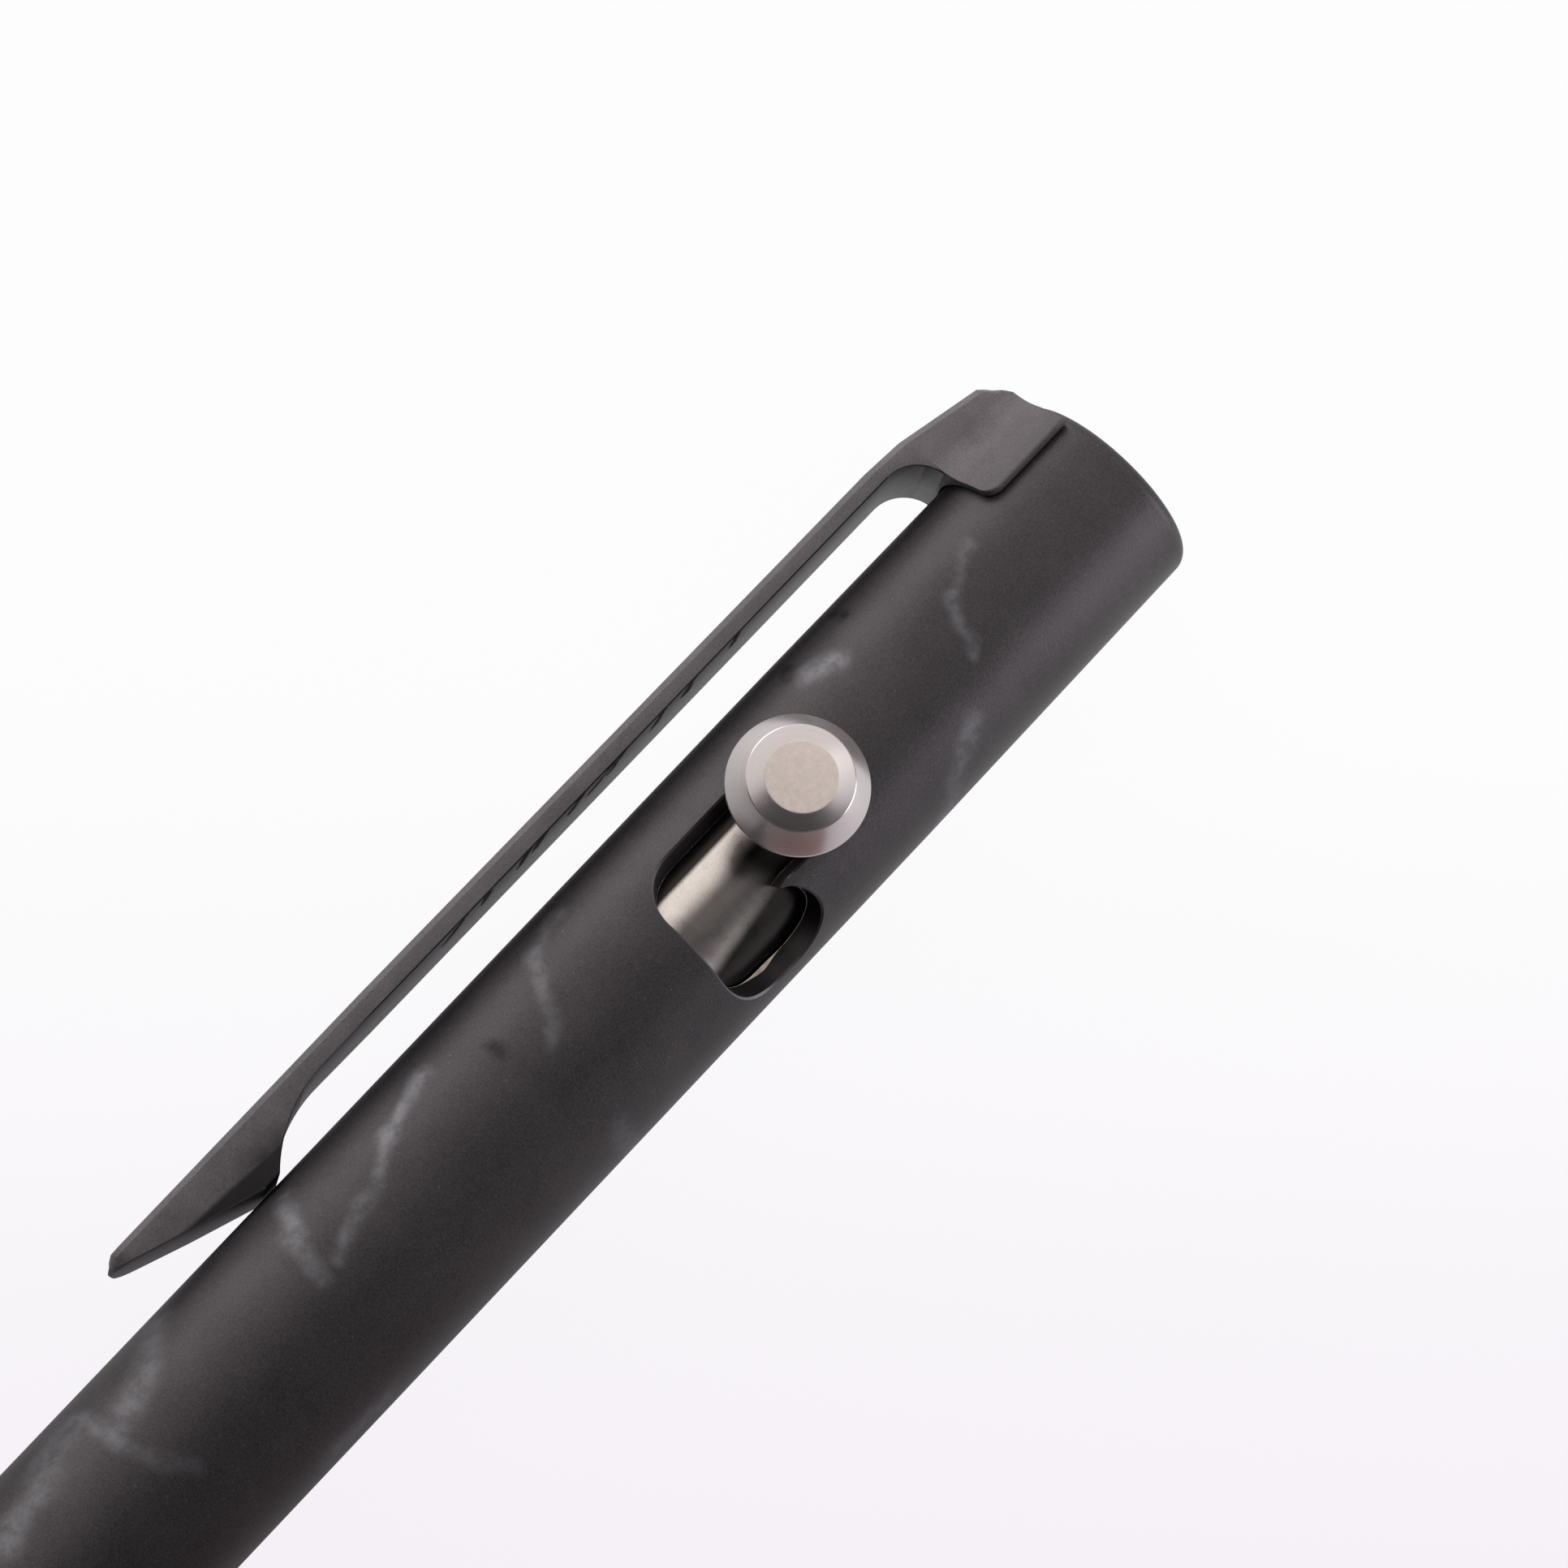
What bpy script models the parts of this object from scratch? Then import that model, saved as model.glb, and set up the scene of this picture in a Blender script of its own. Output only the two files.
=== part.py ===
"""Bolt action pen with a spring clip, modelled at real size in metres.

The pen lies along X: its tail face is at x = 0 and its nose points to -X.
The clip stands out along +Y and the bolt's knob along +Z.
Lengths named "..._from_tail" run from the tail face towards the nose.
"""

import math

import bmesh
import bpy

# Sizes shared by the whole pen.
BARREL_RADIUS = 0.00525
NOSE_LENGTH = 0.038
SEAM_GAP = 0.0001
SEAT_GAP = 0.0001
RUNNING_GAP = 0.0001
CUT_OVERRUN = 0.001

# Barrel.
BARREL_WALL = 0.00105
TAIL_RADIUS = 0.00515
TAIL_TAPER_LENGTH = 0.018
TAIL_RIM_RADIUS = 0.0007
EDGE_CHAMFER = 0.00015
REFILL_BORE_RADIUS = 0.0034
FRONT_BORE_RADIUS = 0.0042
BORE_END_GAP = 0.001

# Slot for the bolt: a channel, a turn and a notch that locks it.
KNOB_FROM_TAIL = 0.0226
SLOT_HALF_WIDTH = 0.0024
STEM_RADIUS = 0.0017
STOP_GAP = 0.00015
PUSH_STROKE = 0.0064
LOCKED_TRAVEL = 0.00415
NOTCH_TURN_DEGREES = 49.0
NOTCH_FLOOR_RADIUS = 0.0031

# Tail plug and its seal.
PLUG_LENGTH = 0.008
PLUG_FIT_GAP = 0.00005
SEAL_WIRE_RADIUS = 0.0003
SEAL_GAP = 0.00005
PLUG_SEAL_FROM_TAIL = 0.0068

# Slider.
SLIDER_FROM_TAIL = 0.014
SLIDER_LENGTH = 0.026
SLIDER_CHAMFER = 0.0004
CUP_DEPTH = 0.0062
SPACER_THICKNESS = 0.001

# Knob, its heights measured out from the pen's axis.
KNOB_TOP_HEIGHT = 0.00874
KNOB_SHOULDER_HEIGHT = 0.00852
KNOB_RIM_HEIGHT = 0.00725
KNOB_RIM_THICKNESS = 0.00017
KNOB_UNDERCUT_HEIGHT = 0.0065
KNOB_RIM_RADIUS = 0.003325
KNOB_SHOULDER_RADIUS = 0.0025
KNOB_TOP_RADIUS = 0.001685
KNOB_SEAT_DEPTH = 0.0006
STUD_RADIUS = 0.001
STUD_TOP_HEIGHT = 0.006
STUD_DEPTH_IN_SLIDER = 0.0026

# Clip, its heights measured out from the pen's axis.
CLIP_HALF_WIDTH = 0.0027
CLIP_TIP_HALF_WIDTH = 0.00135
CLIP_TAPER_FROM_TAIL = 0.042
CLIP_END_FROM_TAIL = 0.05888
CLIP_UNDERSIDE_HEIGHT = 0.00726
CLIP_ARCH_HEIGHT = 0.00713
CLIP_KNEE_HEIGHT = 0.00804
CLIP_KNEE_FROM_TAIL = 0.0082
CLIP_TAPER_LEAD = 0.004
CLIP_TIP_HEIGHT = 0.00842
CLIP_TIP_THICKNESS = 0.0007
CLIP_TIP_LEAN = 0.0004
CLIP_TIP_ROUND = 0.0003
CLIP_RAMP_BULGE = 0.00006
CLIP_PAD_FROM_TAIL = 0.0506
CLIP_PAD_LENGTH = 0.0009
CLIP_PAD_GAP = 0.0001
CLIP_HEEL_RADIUS = 0.0071
CREST_BREAK_HEIGHT = 0.0079
CREST_BREAK_FROM_TAIL = 0.006
CREST_HEIGHT = 0.00702
CREST_FROM_TAIL = 0.0016
FOOT_FROM_TAIL = 0.0006
FOOT_BACK_HEIGHT = 0.0057
FOOT_END_FROM_TAIL = 0.0057
FOOT_WRAP_DEGREES = 57.7
FOOT_FLANGE_THICKNESS = 0.0004
FOOT_FILLET_RADIUS = 0.0022

# Screw that holds the clip.
CLIP_SCREW_FROM_TAIL = 0.0038
CLIP_SCREW_RADIUS = 0.00095
CLIP_SCREW_HEAD_RADIUS = 0.0016
CLIP_SCREW_HEAD_HEIGHT = 0.0009
CLIP_SCREW_SEAT_HEIGHT = 0.0065
CLIP_SCREW_DEPTH = 0.0045
SCREW_SOCKET_RADIUS = 0.0008
SCREW_SOCKET_DEPTH = 0.0005
SCREW_GAP = 0.00005

# Nose section, its neck and its seal.
NOSE_TAPER_LENGTH = 0.022
NOSE_TIP_RADIUS = 0.0017
NOSE_TIP_EDGE = 0.0003
NOSE_CURVE_POWER = 2.2
NECK_LENGTH = 0.01
NECK_BORE_GAP = 0.00015
NECK_LAND_LENGTH = 0.0025
THREAD_PITCH = 0.00075
THREAD_TURNS = 8
THREAD_DEPTH = 0.00025
THREAD_RIDGE_RADIUS = 0.00022
THREAD_START_INSET = 0.0009
THREAD_POINTS_PER_TURN = 24
NOSE_SEAL_INSET = 0.0012
GROOVE_SIDE_GAP = 0.00012
GROOVE_FLOOR_GAP = 0.00005
SPRING_SEAT_FROM_TIP = 0.0045
SPRING_BORE_RADIUS = 0.0025
SPRING_BORE_LEAD = 0.0003
NOSE_TAPER_STEPS = 10

# Refill.
REFILL_LENGTH = 0.0983
REFILL_RADIUS = 0.00295
REFILL_WALL = 0.00025
POINT_RETRACTED = 0.0018
CROWN_LENGTH = 0.006
CROWN_SPIGOT_LENGTH = 0.002
CROWN_NOTCH_WIDTH = 0.0009
CROWN_NOTCH_DEPTH = 0.0016
CROWN_NOTCHES = 4
CROWN_VENT_RADIUS = 0.0008
SHOULDER_FROM_BALL = 0.014
SHOULDER_RUN = 0.0008
REFILL_NECK_RADIUS = 0.0016
REFILL_NECK_LENGTH = 0.0042
POINT_RADIUS = 0.00115
POINT_GAP = 0.00015
POINT_SPIGOT_LENGTH = 0.0015
POINT_CONE_LENGTH = 0.0024
POINT_LIP_RADIUS = 0.00058
BALL_RADIUS = 0.0005
BALL_GAP = 0.00002
BALL_STANDOUT = 0.0002
REFILL_AIR_LENGTH = 0.00985
FOLLOWER_LENGTH = 0.004
INK_GAP = 0.00005

# Return spring.
SPRING_WIRE_RADIUS = 0.0002
SPRING_COIL_RADIUS = 0.0021
SPRING_TURNS = 7
SPRING_POINTS_PER_TURN = 12

# Fineness of the round pieces.
ROUND_SEGMENTS = 48
SMALL_SEGMENTS = 24
ARC_STEPS = 6
SOCKET_SIDES = 6
SEAL_SIDES = 8
MERGE_DISTANCE = 0.000001

# Sizes that follow from the ones above.
SLIDER_BORE_RADIUS = BARREL_RADIUS - BARREL_WALL
SLIDER_RADIUS = SLIDER_BORE_RADIUS - RUNNING_GAP
SLIDER_FRONT = SLIDER_FROM_TAIL + SLIDER_LENGTH
SLIDER_BORE_END = SLIDER_FRONT + PUSH_STROKE + BORE_END_GAP
CUP_FLOOR = SLIDER_FRONT - CUP_DEPTH
REFILL_BACK = CUP_FLOOR + SPACER_THICKNESS + 2 * SEAT_GAP
REFILL_FRONT = REFILL_BACK + REFILL_LENGTH
PEN_LENGTH = REFILL_FRONT + POINT_RETRACTED
NOSE_SHOULDER = PEN_LENGTH - NOSE_LENGTH
BARREL_LENGTH = NOSE_SHOULDER - SEAM_GAP
NECK_START = NOSE_SHOULDER - NECK_LENGTH
NECK_BORE_START = NECK_START - SEAT_GAP
NECK_RADIUS = FRONT_BORE_RADIUS - RUNNING_GAP - THREAD_DEPTH
PLUG_RADIUS = SLIDER_BORE_RADIUS - PLUG_FIT_GAP
GROOVE_HALF_WIDTH = SEAL_WIRE_RADIUS + GROOVE_SIDE_GAP
NOSE_SEAL_FROM_TAIL = NOSE_SHOULDER - NOSE_SEAL_INSET
CUP_RADIUS = REFILL_RADIUS + RUNNING_GAP
KNOB_SEAT_HEIGHT = SLIDER_RADIUS - KNOB_SEAT_DEPTH
REFILL_SHOULDER = REFILL_FRONT - SHOULDER_FROM_BALL
FOLLOWER_START = REFILL_BACK + CROWN_LENGTH + CROWN_SPIGOT_LENGTH + REFILL_AIR_LENGTH
INK_START = FOLLOWER_START + FOLLOWER_LENGTH + SEAT_GAP
INK_LENGTH = REFILL_SHOULDER - REFILL_WALL - SEAT_GAP - INK_START
SPRING_SEAT = PEN_LENGTH - SPRING_SEAT_FROM_TIP
NOSE_BORE_RADIUS = REFILL_RADIUS + NECK_BORE_GAP
POINT_BORE_RADIUS = POINT_RADIUS + POINT_GAP


def clear_scene():
    for old in list(bpy.data.objects):
        bpy.data.objects.remove(old)


def new_collection(name):
    collection = bpy.data.collections.new(name)
    bpy.context.scene.collection.children.link(collection)
    return collection


def new_material(name, colour, roughness, metallic):
    material = bpy.data.materials.new(name)
    material.use_nodes = True
    shader = material.node_tree.nodes["Principled BSDF"]
    shader.inputs["Base Color"].default_value = (*colour, 1.0)
    shader.inputs["Roughness"].default_value = roughness
    shader.inputs["Metallic"].default_value = metallic
    return material


clear_scene()
PEN = new_collection("bolt_action_pen")
CUTTERS = new_collection("cutters")

BLACK_COAT = new_material("black_coat", (0.052, 0.047, 0.047), 0.5, 0.6)
SATIN_TITANIUM = new_material("satin_titanium", (0.52, 0.47, 0.43), 0.3, 1.0)
BLACK_STEEL = new_material("black_steel", (0.04, 0.04, 0.042), 0.35, 1.0)
SPRING_STEEL = new_material("spring_steel", (0.5, 0.5, 0.5), 0.25, 1.0)
BRASS = new_material("brass", (0.75, 0.55, 0.25), 0.25, 1.0)
REFILL_STEEL = new_material("refill_steel", (0.62, 0.62, 0.63), 0.3, 1.0)
CARBIDE = new_material("carbide", (0.3, 0.3, 0.32), 0.2, 1.0)
SEAL_RUBBER = new_material("seal_rubber", (0.015, 0.015, 0.015), 0.7, 0.0)
WHITE_PLASTIC = new_material("white_plastic", (0.8, 0.8, 0.78), 0.5, 0.0)
BLACK_INK = new_material("black_ink", (0.005, 0.005, 0.012), 0.3, 0.0)
CLEAR_GREASE = new_material("clear_grease", (0.8, 0.72, 0.5), 0.2, 0.0)


# Shapes.

def link_piece(obj, material):
    obj.data.materials.append(material)
    PEN.objects.link(obj)
    return obj


def link_cutter(obj):
    obj.hide_render = True
    obj.display_type = "WIRE"
    CUTTERS.objects.link(obj)
    return obj


def arc_points(centre, radius, start_degrees, end_degrees, steps=ARC_STEPS):
    """Points on an arc, first and last included, in the plane of centre."""
    points = []
    for step in range(steps + 1):
        angle = math.radians(start_degrees + (end_degrees - start_degrees) * step / steps)
        points.append((centre[0] + radius * math.cos(angle), centre[1] + radius * math.sin(angle)))
    return points


def turned_object(name, outline, segments):
    """Turn an outline of (radius, height) points about the local Z axis.

    The outline runs from its top down the outer side. One that starts off the axis is a
    closed ring; one that starts on the axis ends there too.
    """
    mesh = bpy.data.meshes.new(name)
    count = len(outline)
    edges = [(index, index + 1) for index in range(count - 1)]
    if outline[0][0] > 0:
        edges.append((count - 1, 0))
    mesh.from_pydata([(radius, 0.0, height) for radius, height in outline], edges, [])
    obj = bpy.data.objects.new(name, mesh)
    screw = obj.modifiers.new("turn", "SCREW")
    screw.axis = "Z"
    screw.steps = segments
    screw.render_steps = segments
    screw.use_merge_vertices = True
    screw.merge_threshold = MERGE_DISTANCE
    screw.use_smooth_shade = True
    return obj


def turned_along_pen(name, outline, segments=ROUND_SEGMENTS):
    """Turn an outline of (radius, distance from the tail) points about the pen's axis."""
    heights = [(radius, -from_tail) for radius, from_tail in outline]
    obj = turned_object(name, heights, segments)
    obj.rotation_euler = (0.0, math.pi / 2, 0.0)
    return obj


def stamped_object(name, outline, thickness):
    """A flat outline in the local XY plane, thickened to both sides of it."""
    curve = bpy.data.curves.new(name, "CURVE")
    curve.dimensions = "2D"
    curve.fill_mode = "BOTH"
    curve.extrude = thickness / 2
    spline = curve.splines.new("POLY")
    spline.points.add(len(outline) - 1)
    for point, (across, along) in zip(spline.points, outline):
        point.co = (across, along, 0.0, 1.0)
    spline.use_cyclic_u = True
    return bpy.data.objects.new(name, curve)


def as_mesh_object(curve_object):
    """Make a curve object a mesh with welded caps, at the same place."""
    bpy.context.scene.collection.objects.link(curve_object)
    bpy.context.view_layer.update()
    evaluated = curve_object.evaluated_get(bpy.context.evaluated_depsgraph_get())
    mesh = bpy.data.meshes.new_from_object(evaluated)
    welded = bmesh.new()
    welded.from_mesh(mesh)
    bmesh.ops.remove_doubles(welded, verts=welded.verts, dist=MERGE_DISTANCE)
    bmesh.ops.recalc_face_normals(welded, faces=welded.faces)
    welded.to_mesh(mesh)
    welded.free()
    name = curve_object.name
    place = curve_object.matrix_world.copy()
    bpy.data.objects.remove(curve_object)
    obj = bpy.data.objects.new(name, mesh)
    obj.matrix_world = place
    return obj


def stamped_mesh(name, outline, thickness, rotation=(0.0, 0.0, 0.0)):
    flat = stamped_object(name, outline, thickness)
    flat.rotation_euler = rotation
    return as_mesh_object(flat)


def helix_object(name, radius, turns, rise, start_height, wire_radius, points_per_turn, sides):
    """A wire wound about the local Z axis, upwards from start_height."""
    curve = bpy.data.curves.new(name, "CURVE")
    curve.dimensions = "3D"
    curve.twist_mode = "Z_UP"
    curve.bevel_depth = wire_radius
    curve.bevel_resolution = sides
    curve.use_fill_caps = True
    curve.resolution_u = 1
    curve.render_resolution_u = 0
    spline = curve.splines.new("POLY")
    last = turns * points_per_turn
    spline.points.add(last)
    for index in range(last + 1):
        angle = 2 * math.pi * index / points_per_turn
        height = start_height + rise * index / last
        spline.points[index].co = (radius * math.cos(angle), radius * math.sin(angle), height, 1.0)
    return bpy.data.objects.new(name, curve)


def boolean(obj, cutter, operation):
    modifier = obj.modifiers.new(cutter.name, "BOOLEAN")
    modifier.operation = operation
    modifier.solver = "EXACT"
    modifier.object = cutter
    return modifier


def cut(obj, cutter):
    return boolean(obj, cutter, "DIFFERENCE")


def cylinder_cutter(name, radius, bottom, top, segments=SMALL_SEGMENTS):
    outline = [(0.0, top), (radius, top), (radius, bottom), (0.0, bottom)]
    return link_cutter(turned_object(name, outline, segments))


# Barrel.

def tail_taper_radius(from_tail):
    """The barrel's radius where it narrows towards the tail."""
    return TAIL_RADIUS + (BARREL_RADIUS - TAIL_RADIUS) * from_tail / TAIL_TAPER_LENGTH


def barrel_outline():
    rim_top = tail_taper_radius(TAIL_RIM_RADIUS) - TAIL_RIM_RADIUS
    rim_arc = arc_points((rim_top, -TAIL_RIM_RADIUS), TAIL_RIM_RADIUS, 90, 0)
    rim = [(radius, -height) for radius, height in rim_arc]
    front = [
        (BARREL_RADIUS, TAIL_TAPER_LENGTH),
        (BARREL_RADIUS, BARREL_LENGTH - EDGE_CHAMFER),
        (BARREL_RADIUS - EDGE_CHAMFER, BARREL_LENGTH),
    ]
    bore = [
        (FRONT_BORE_RADIUS, BARREL_LENGTH),
        (FRONT_BORE_RADIUS, NECK_BORE_START),
        (REFILL_BORE_RADIUS, NECK_BORE_START),
        (REFILL_BORE_RADIUS, SLIDER_BORE_END),
        (SLIDER_BORE_RADIUS, SLIDER_BORE_END),
        (SLIDER_BORE_RADIUS, 0.0),
    ]
    return rim + front + bore


def slot_outline():
    """The slot unrolled: (distance round the barrel away from the clip, distance from tail)."""
    tail_end = KNOB_FROM_TAIL - STEM_RADIUS - STOP_GAP
    front_end = KNOB_FROM_TAIL + PUSH_STROKE + STEM_RADIUS + STOP_GAP
    notch_top = KNOB_FROM_TAIL + LOCKED_TRAVEL - STEM_RADIUS - STOP_GAP
    notch_round = math.radians(NOTCH_TURN_DEGREES) * BARREL_RADIUS
    half = SLOT_HALF_WIDTH
    turn_back = front_end - 2 * half
    notch_centre = (notch_round, notch_top + half)
    floor_centre = (notch_round + half - NOTCH_FLOOR_RADIUS, front_end - NOTCH_FLOOR_RADIUS)
    meeting = math.degrees(math.asin((notch_centre[1] - turn_back) / half))
    outline = arc_points((0.0, tail_end + half), half, 0, -180, 2 * ARC_STEPS)
    outline += arc_points((0.0, front_end - half), half, 180, 90)
    outline += arc_points(floor_centre, NOTCH_FLOOR_RADIUS, 90, 0)
    outline += arc_points(notch_centre, half, 0, meeting - 180, 2 * ARC_STEPS)
    outline.append((half, turn_back))
    return outline


def slot_cutter():
    """The slot's outline, cut into narrow strips and wrapped round the pen's axis."""
    outline = slot_outline()
    inner = REFILL_BORE_RADIUS
    outer = BARREL_RADIUS + CUT_OVERRUN
    cutter = stamped_mesh("slot_cutter", outline, outer - inner)
    strips = bmesh.new()
    strips.from_mesh(cutter.data)
    left = min(across for across, along in outline)
    right = max(across for across, along in outline)
    for step in range(1, 2 * ARC_STEPS):
        place = left + (right - left) * step / (2 * ARC_STEPS)
        bmesh.ops.bisect_plane(
            strips,
            geom=strips.verts[:] + strips.edges[:] + strips.faces[:],
            dist=MERGE_DISTANCE,
            plane_co=(place, 0.0, 0.0),
            plane_no=(1.0, 0.0, 0.0),
        )
    bmesh.ops.triangulate(strips, faces=strips.faces[:])
    for vert in strips.verts:
        angle = vert.co.x / BARREL_RADIUS
        radius = (inner + outer) / 2 + vert.co.z
        vert.co = (-vert.co.y, -radius * math.sin(angle), radius * math.cos(angle))
    bmesh.ops.recalc_face_normals(strips, faces=strips.faces[:])
    strips.to_mesh(cutter.data)
    strips.free()
    return link_cutter(cutter)


def clip_screw_hole(name, radius, bottom, top):
    cutter = cylinder_cutter(name, radius, bottom, top)
    cutter.location = (-CLIP_SCREW_FROM_TAIL, 0.0, 0.0)
    cutter.rotation_euler = (-math.pi / 2, 0.0, 0.0)
    return cutter


def make_barrel():
    barrel = link_piece(turned_along_pen("barrel", barrel_outline()), BLACK_COAT)
    cut(barrel, slot_cutter())
    hole_top = BARREL_RADIUS + CUT_OVERRUN
    hole_radius = CLIP_SCREW_RADIUS + SCREW_GAP
    cut(barrel, clip_screw_hole("barrel_screw_hole", hole_radius, REFILL_BORE_RADIUS, hole_top))
    return barrel


# Tail plug and seals.

def seal_radius(bore_radius):
    return bore_radius - SEAL_GAP - SEAL_WIRE_RADIUS


def groove(surface_radius, bore_radius, from_tail):
    """Points of a seal's groove, met on the way towards the nose."""
    floor = seal_radius(bore_radius) - SEAL_WIRE_RADIUS - GROOVE_FLOOR_GAP
    start = from_tail - GROOVE_HALF_WIDTH
    end = from_tail + GROOVE_HALF_WIDTH
    return [(surface_radius, start), (floor, start), (floor, end), (surface_radius, end)]


def make_tail_plug():
    outline = [
        (0.0, 0.0),
        (PLUG_RADIUS - EDGE_CHAMFER, 0.0),
        (PLUG_RADIUS, EDGE_CHAMFER),
    ]
    outline += groove(PLUG_RADIUS, SLIDER_BORE_RADIUS, PLUG_SEAL_FROM_TAIL)
    outline += [
        (PLUG_RADIUS, PLUG_LENGTH - EDGE_CHAMFER),
        (PLUG_RADIUS - EDGE_CHAMFER, PLUG_LENGTH),
        (0.0, PLUG_LENGTH),
    ]
    plug = link_piece(turned_along_pen("tail_plug", outline), BLACK_COAT)
    hole_bottom = CLIP_SCREW_SEAT_HEIGHT - CLIP_SCREW_DEPTH - SEAT_GAP
    hole_radius = CLIP_SCREW_RADIUS + SCREW_GAP
    cut(plug, clip_screw_hole("plug_screw_hole", hole_radius, hole_bottom, BARREL_RADIUS))
    return plug


def make_seal(name, bore_radius, from_tail):
    centre = (seal_radius(bore_radius), from_tail)
    ring = arc_points(centre, SEAL_WIRE_RADIUS, -90, 270, SEAL_SIDES)
    return link_piece(turned_along_pen(name, ring[:-1]), SEAL_RUBBER)


# Clip.

def clip_side_outline():
    """The clip seen from the knob's side: (distance from the tail, height) points."""
    pad_height = BARREL_RADIUS + CLIP_PAD_GAP
    pad_end = CLIP_PAD_FROM_TAIL + CLIP_PAD_LENGTH
    heel_drop = CLIP_UNDERSIDE_HEIGHT - pad_height
    heel_degrees = math.degrees(math.acos(1 - heel_drop / CLIP_HEEL_RADIUS))
    heel_run = CLIP_HEEL_RADIUS * math.sin(math.radians(heel_degrees))
    heel_centre = (CLIP_PAD_FROM_TAIL - heel_run, CLIP_UNDERSIDE_HEIGHT - CLIP_HEEL_RADIUS)
    arch_radius = CLIP_ARCH_HEIGHT - TAIL_RADIUS
    arch_centre = (FOOT_END_FROM_TAIL + arch_radius, TAIL_RADIUS)
    tip_bottom = CLIP_TIP_HEIGHT - CLIP_TIP_THICKNESS
    tip_break = CLIP_TIP_ROUND / 2
    tip_top = CLIP_END_FROM_TAIL - CLIP_TIP_LEAN
    tip_centre = (CLIP_END_FROM_TAIL - CLIP_TIP_ROUND, tip_bottom + CLIP_TIP_ROUND)
    ramp_degrees = math.degrees(math.atan2(tip_bottom - pad_height, tip_centre[0] - pad_end))
    ramp_middle = (tip_centre[0] + pad_end) / 2
    ramp_height = (tip_bottom + pad_height) / 2 - CLIP_RAMP_BULGE
    outline = [
        (FOOT_FROM_TAIL, 0.0),
        (FOOT_FROM_TAIL, FOOT_BACK_HEIGHT),
        (CREST_FROM_TAIL, CREST_HEIGHT),
        (CREST_BREAK_FROM_TAIL, CREST_BREAK_HEIGHT),
        (CLIP_KNEE_FROM_TAIL, CLIP_KNEE_HEIGHT),
        (tip_top - tip_break, CLIP_TIP_HEIGHT),
        (tip_top, CLIP_TIP_HEIGHT - tip_break),
    ]
    outline += arc_points(tip_centre, CLIP_TIP_ROUND, 0, ramp_degrees - 90)
    outline += [(ramp_middle, ramp_height), (pad_end, pad_height)]
    outline += arc_points(heel_centre, CLIP_HEEL_RADIUS, 90 - heel_degrees, 90)
    outline += arc_points(arch_centre, arch_radius, 90, 180)
    outline.append((FOOT_END_FROM_TAIL, 0.0))
    return outline


def foot_section():
    """The clip across the pen, (sideways, height): its crest flares into a thin flange."""
    flange_radius = TAIL_RADIUS + SEAT_GAP + FOOT_FLANGE_THICKNESS
    fillet_side = CLIP_HALF_WIDTH + FOOT_FILLET_RADIUS
    fillet_height = math.sqrt((flange_radius + FOOT_FILLET_RADIUS) ** 2 - fillet_side ** 2)
    fillet_end = math.degrees(math.atan2(fillet_height, fillet_side))
    edge_degrees = 90 - FOOT_WRAP_DEGREES
    centre = (0.0, 0.0)
    side = [(CLIP_HALF_WIDTH, CLIP_TIP_HEIGHT + CUT_OVERRUN)]
    side += arc_points((fillet_side, fillet_height), FOOT_FILLET_RADIUS, 180, 180 + fillet_end)
    side += arc_points(centre, flange_radius, fillet_end, edge_degrees)[1:]
    side += arc_points(centre, REFILL_BORE_RADIUS, edge_degrees, edge_degrees, 1)[1:]
    other_side = [(-across, height) for across, height in reversed(side)]
    return side + other_side


def taper_plan():
    """The clip seen from outside, (along, sideways): its sides draw in towards the tip."""
    taper_length = CLIP_END_FROM_TAIL - CLIP_TAPER_FROM_TAIL
    slope = (CLIP_HALF_WIDTH - CLIP_TIP_HALF_WIDTH) / taper_length
    wide = 2 * BARREL_RADIUS
    wide_end = CLIP_TAPER_FROM_TAIL - CLIP_TAPER_LEAD
    half = [
        (CUT_OVERRUN, wide),
        (-wide_end, wide),
        (-wide_end, CLIP_HALF_WIDTH + slope * CLIP_TAPER_LEAD),
        (-CLIP_END_FROM_TAIL - CUT_OVERRUN, CLIP_TIP_HALF_WIDTH - slope * CUT_OVERRUN),
    ]
    other_half = [(along, -across) for along, across in reversed(half)]
    return half + other_half


def make_clip():
    side = [(-from_tail, height) for from_tail, height in clip_side_outline()]
    clip = link_piece(stamped_mesh("clip", side, 4 * BARREL_RADIUS), BLACK_COAT)

    facing_x = (0.0, math.pi / 2, 0.0)
    section = stamped_mesh("clip_section", foot_section(), 4 * CLIP_END_FROM_TAIL, facing_x)
    boolean(clip, link_cutter(section), "INTERSECT")

    facing_y = (math.pi / 2, 0.0, 0.0)
    plan = stamped_mesh("clip_plan", taper_plan(), 4 * BARREL_RADIUS, facing_y)
    boolean(clip, link_cutter(plan), "INTERSECT")

    seat_end = FOOT_END_FROM_TAIL + CUT_OVERRUN
    seat_outline = [
        (0.0, -CUT_OVERRUN),
        (tail_taper_radius(-CUT_OVERRUN) + SEAT_GAP, -CUT_OVERRUN),
        (tail_taper_radius(seat_end) + SEAT_GAP, seat_end),
        (0.0, seat_end),
    ]
    cut(clip, link_cutter(turned_along_pen("clip_seat", seat_outline)))

    above = CLIP_TIP_HEIGHT + CUT_OVERRUN
    head_radius = CLIP_SCREW_HEAD_RADIUS + SEAT_GAP
    head_bottom = CLIP_SCREW_SEAT_HEIGHT - SEAT_GAP
    shank_radius = CLIP_SCREW_RADIUS + SCREW_GAP
    cut(clip, clip_screw_hole("clip_head_hole", head_radius, head_bottom, above))
    cut(clip, clip_screw_hole("clip_shank_hole", shank_radius, REFILL_BORE_RADIUS, above))
    return clip


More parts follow.
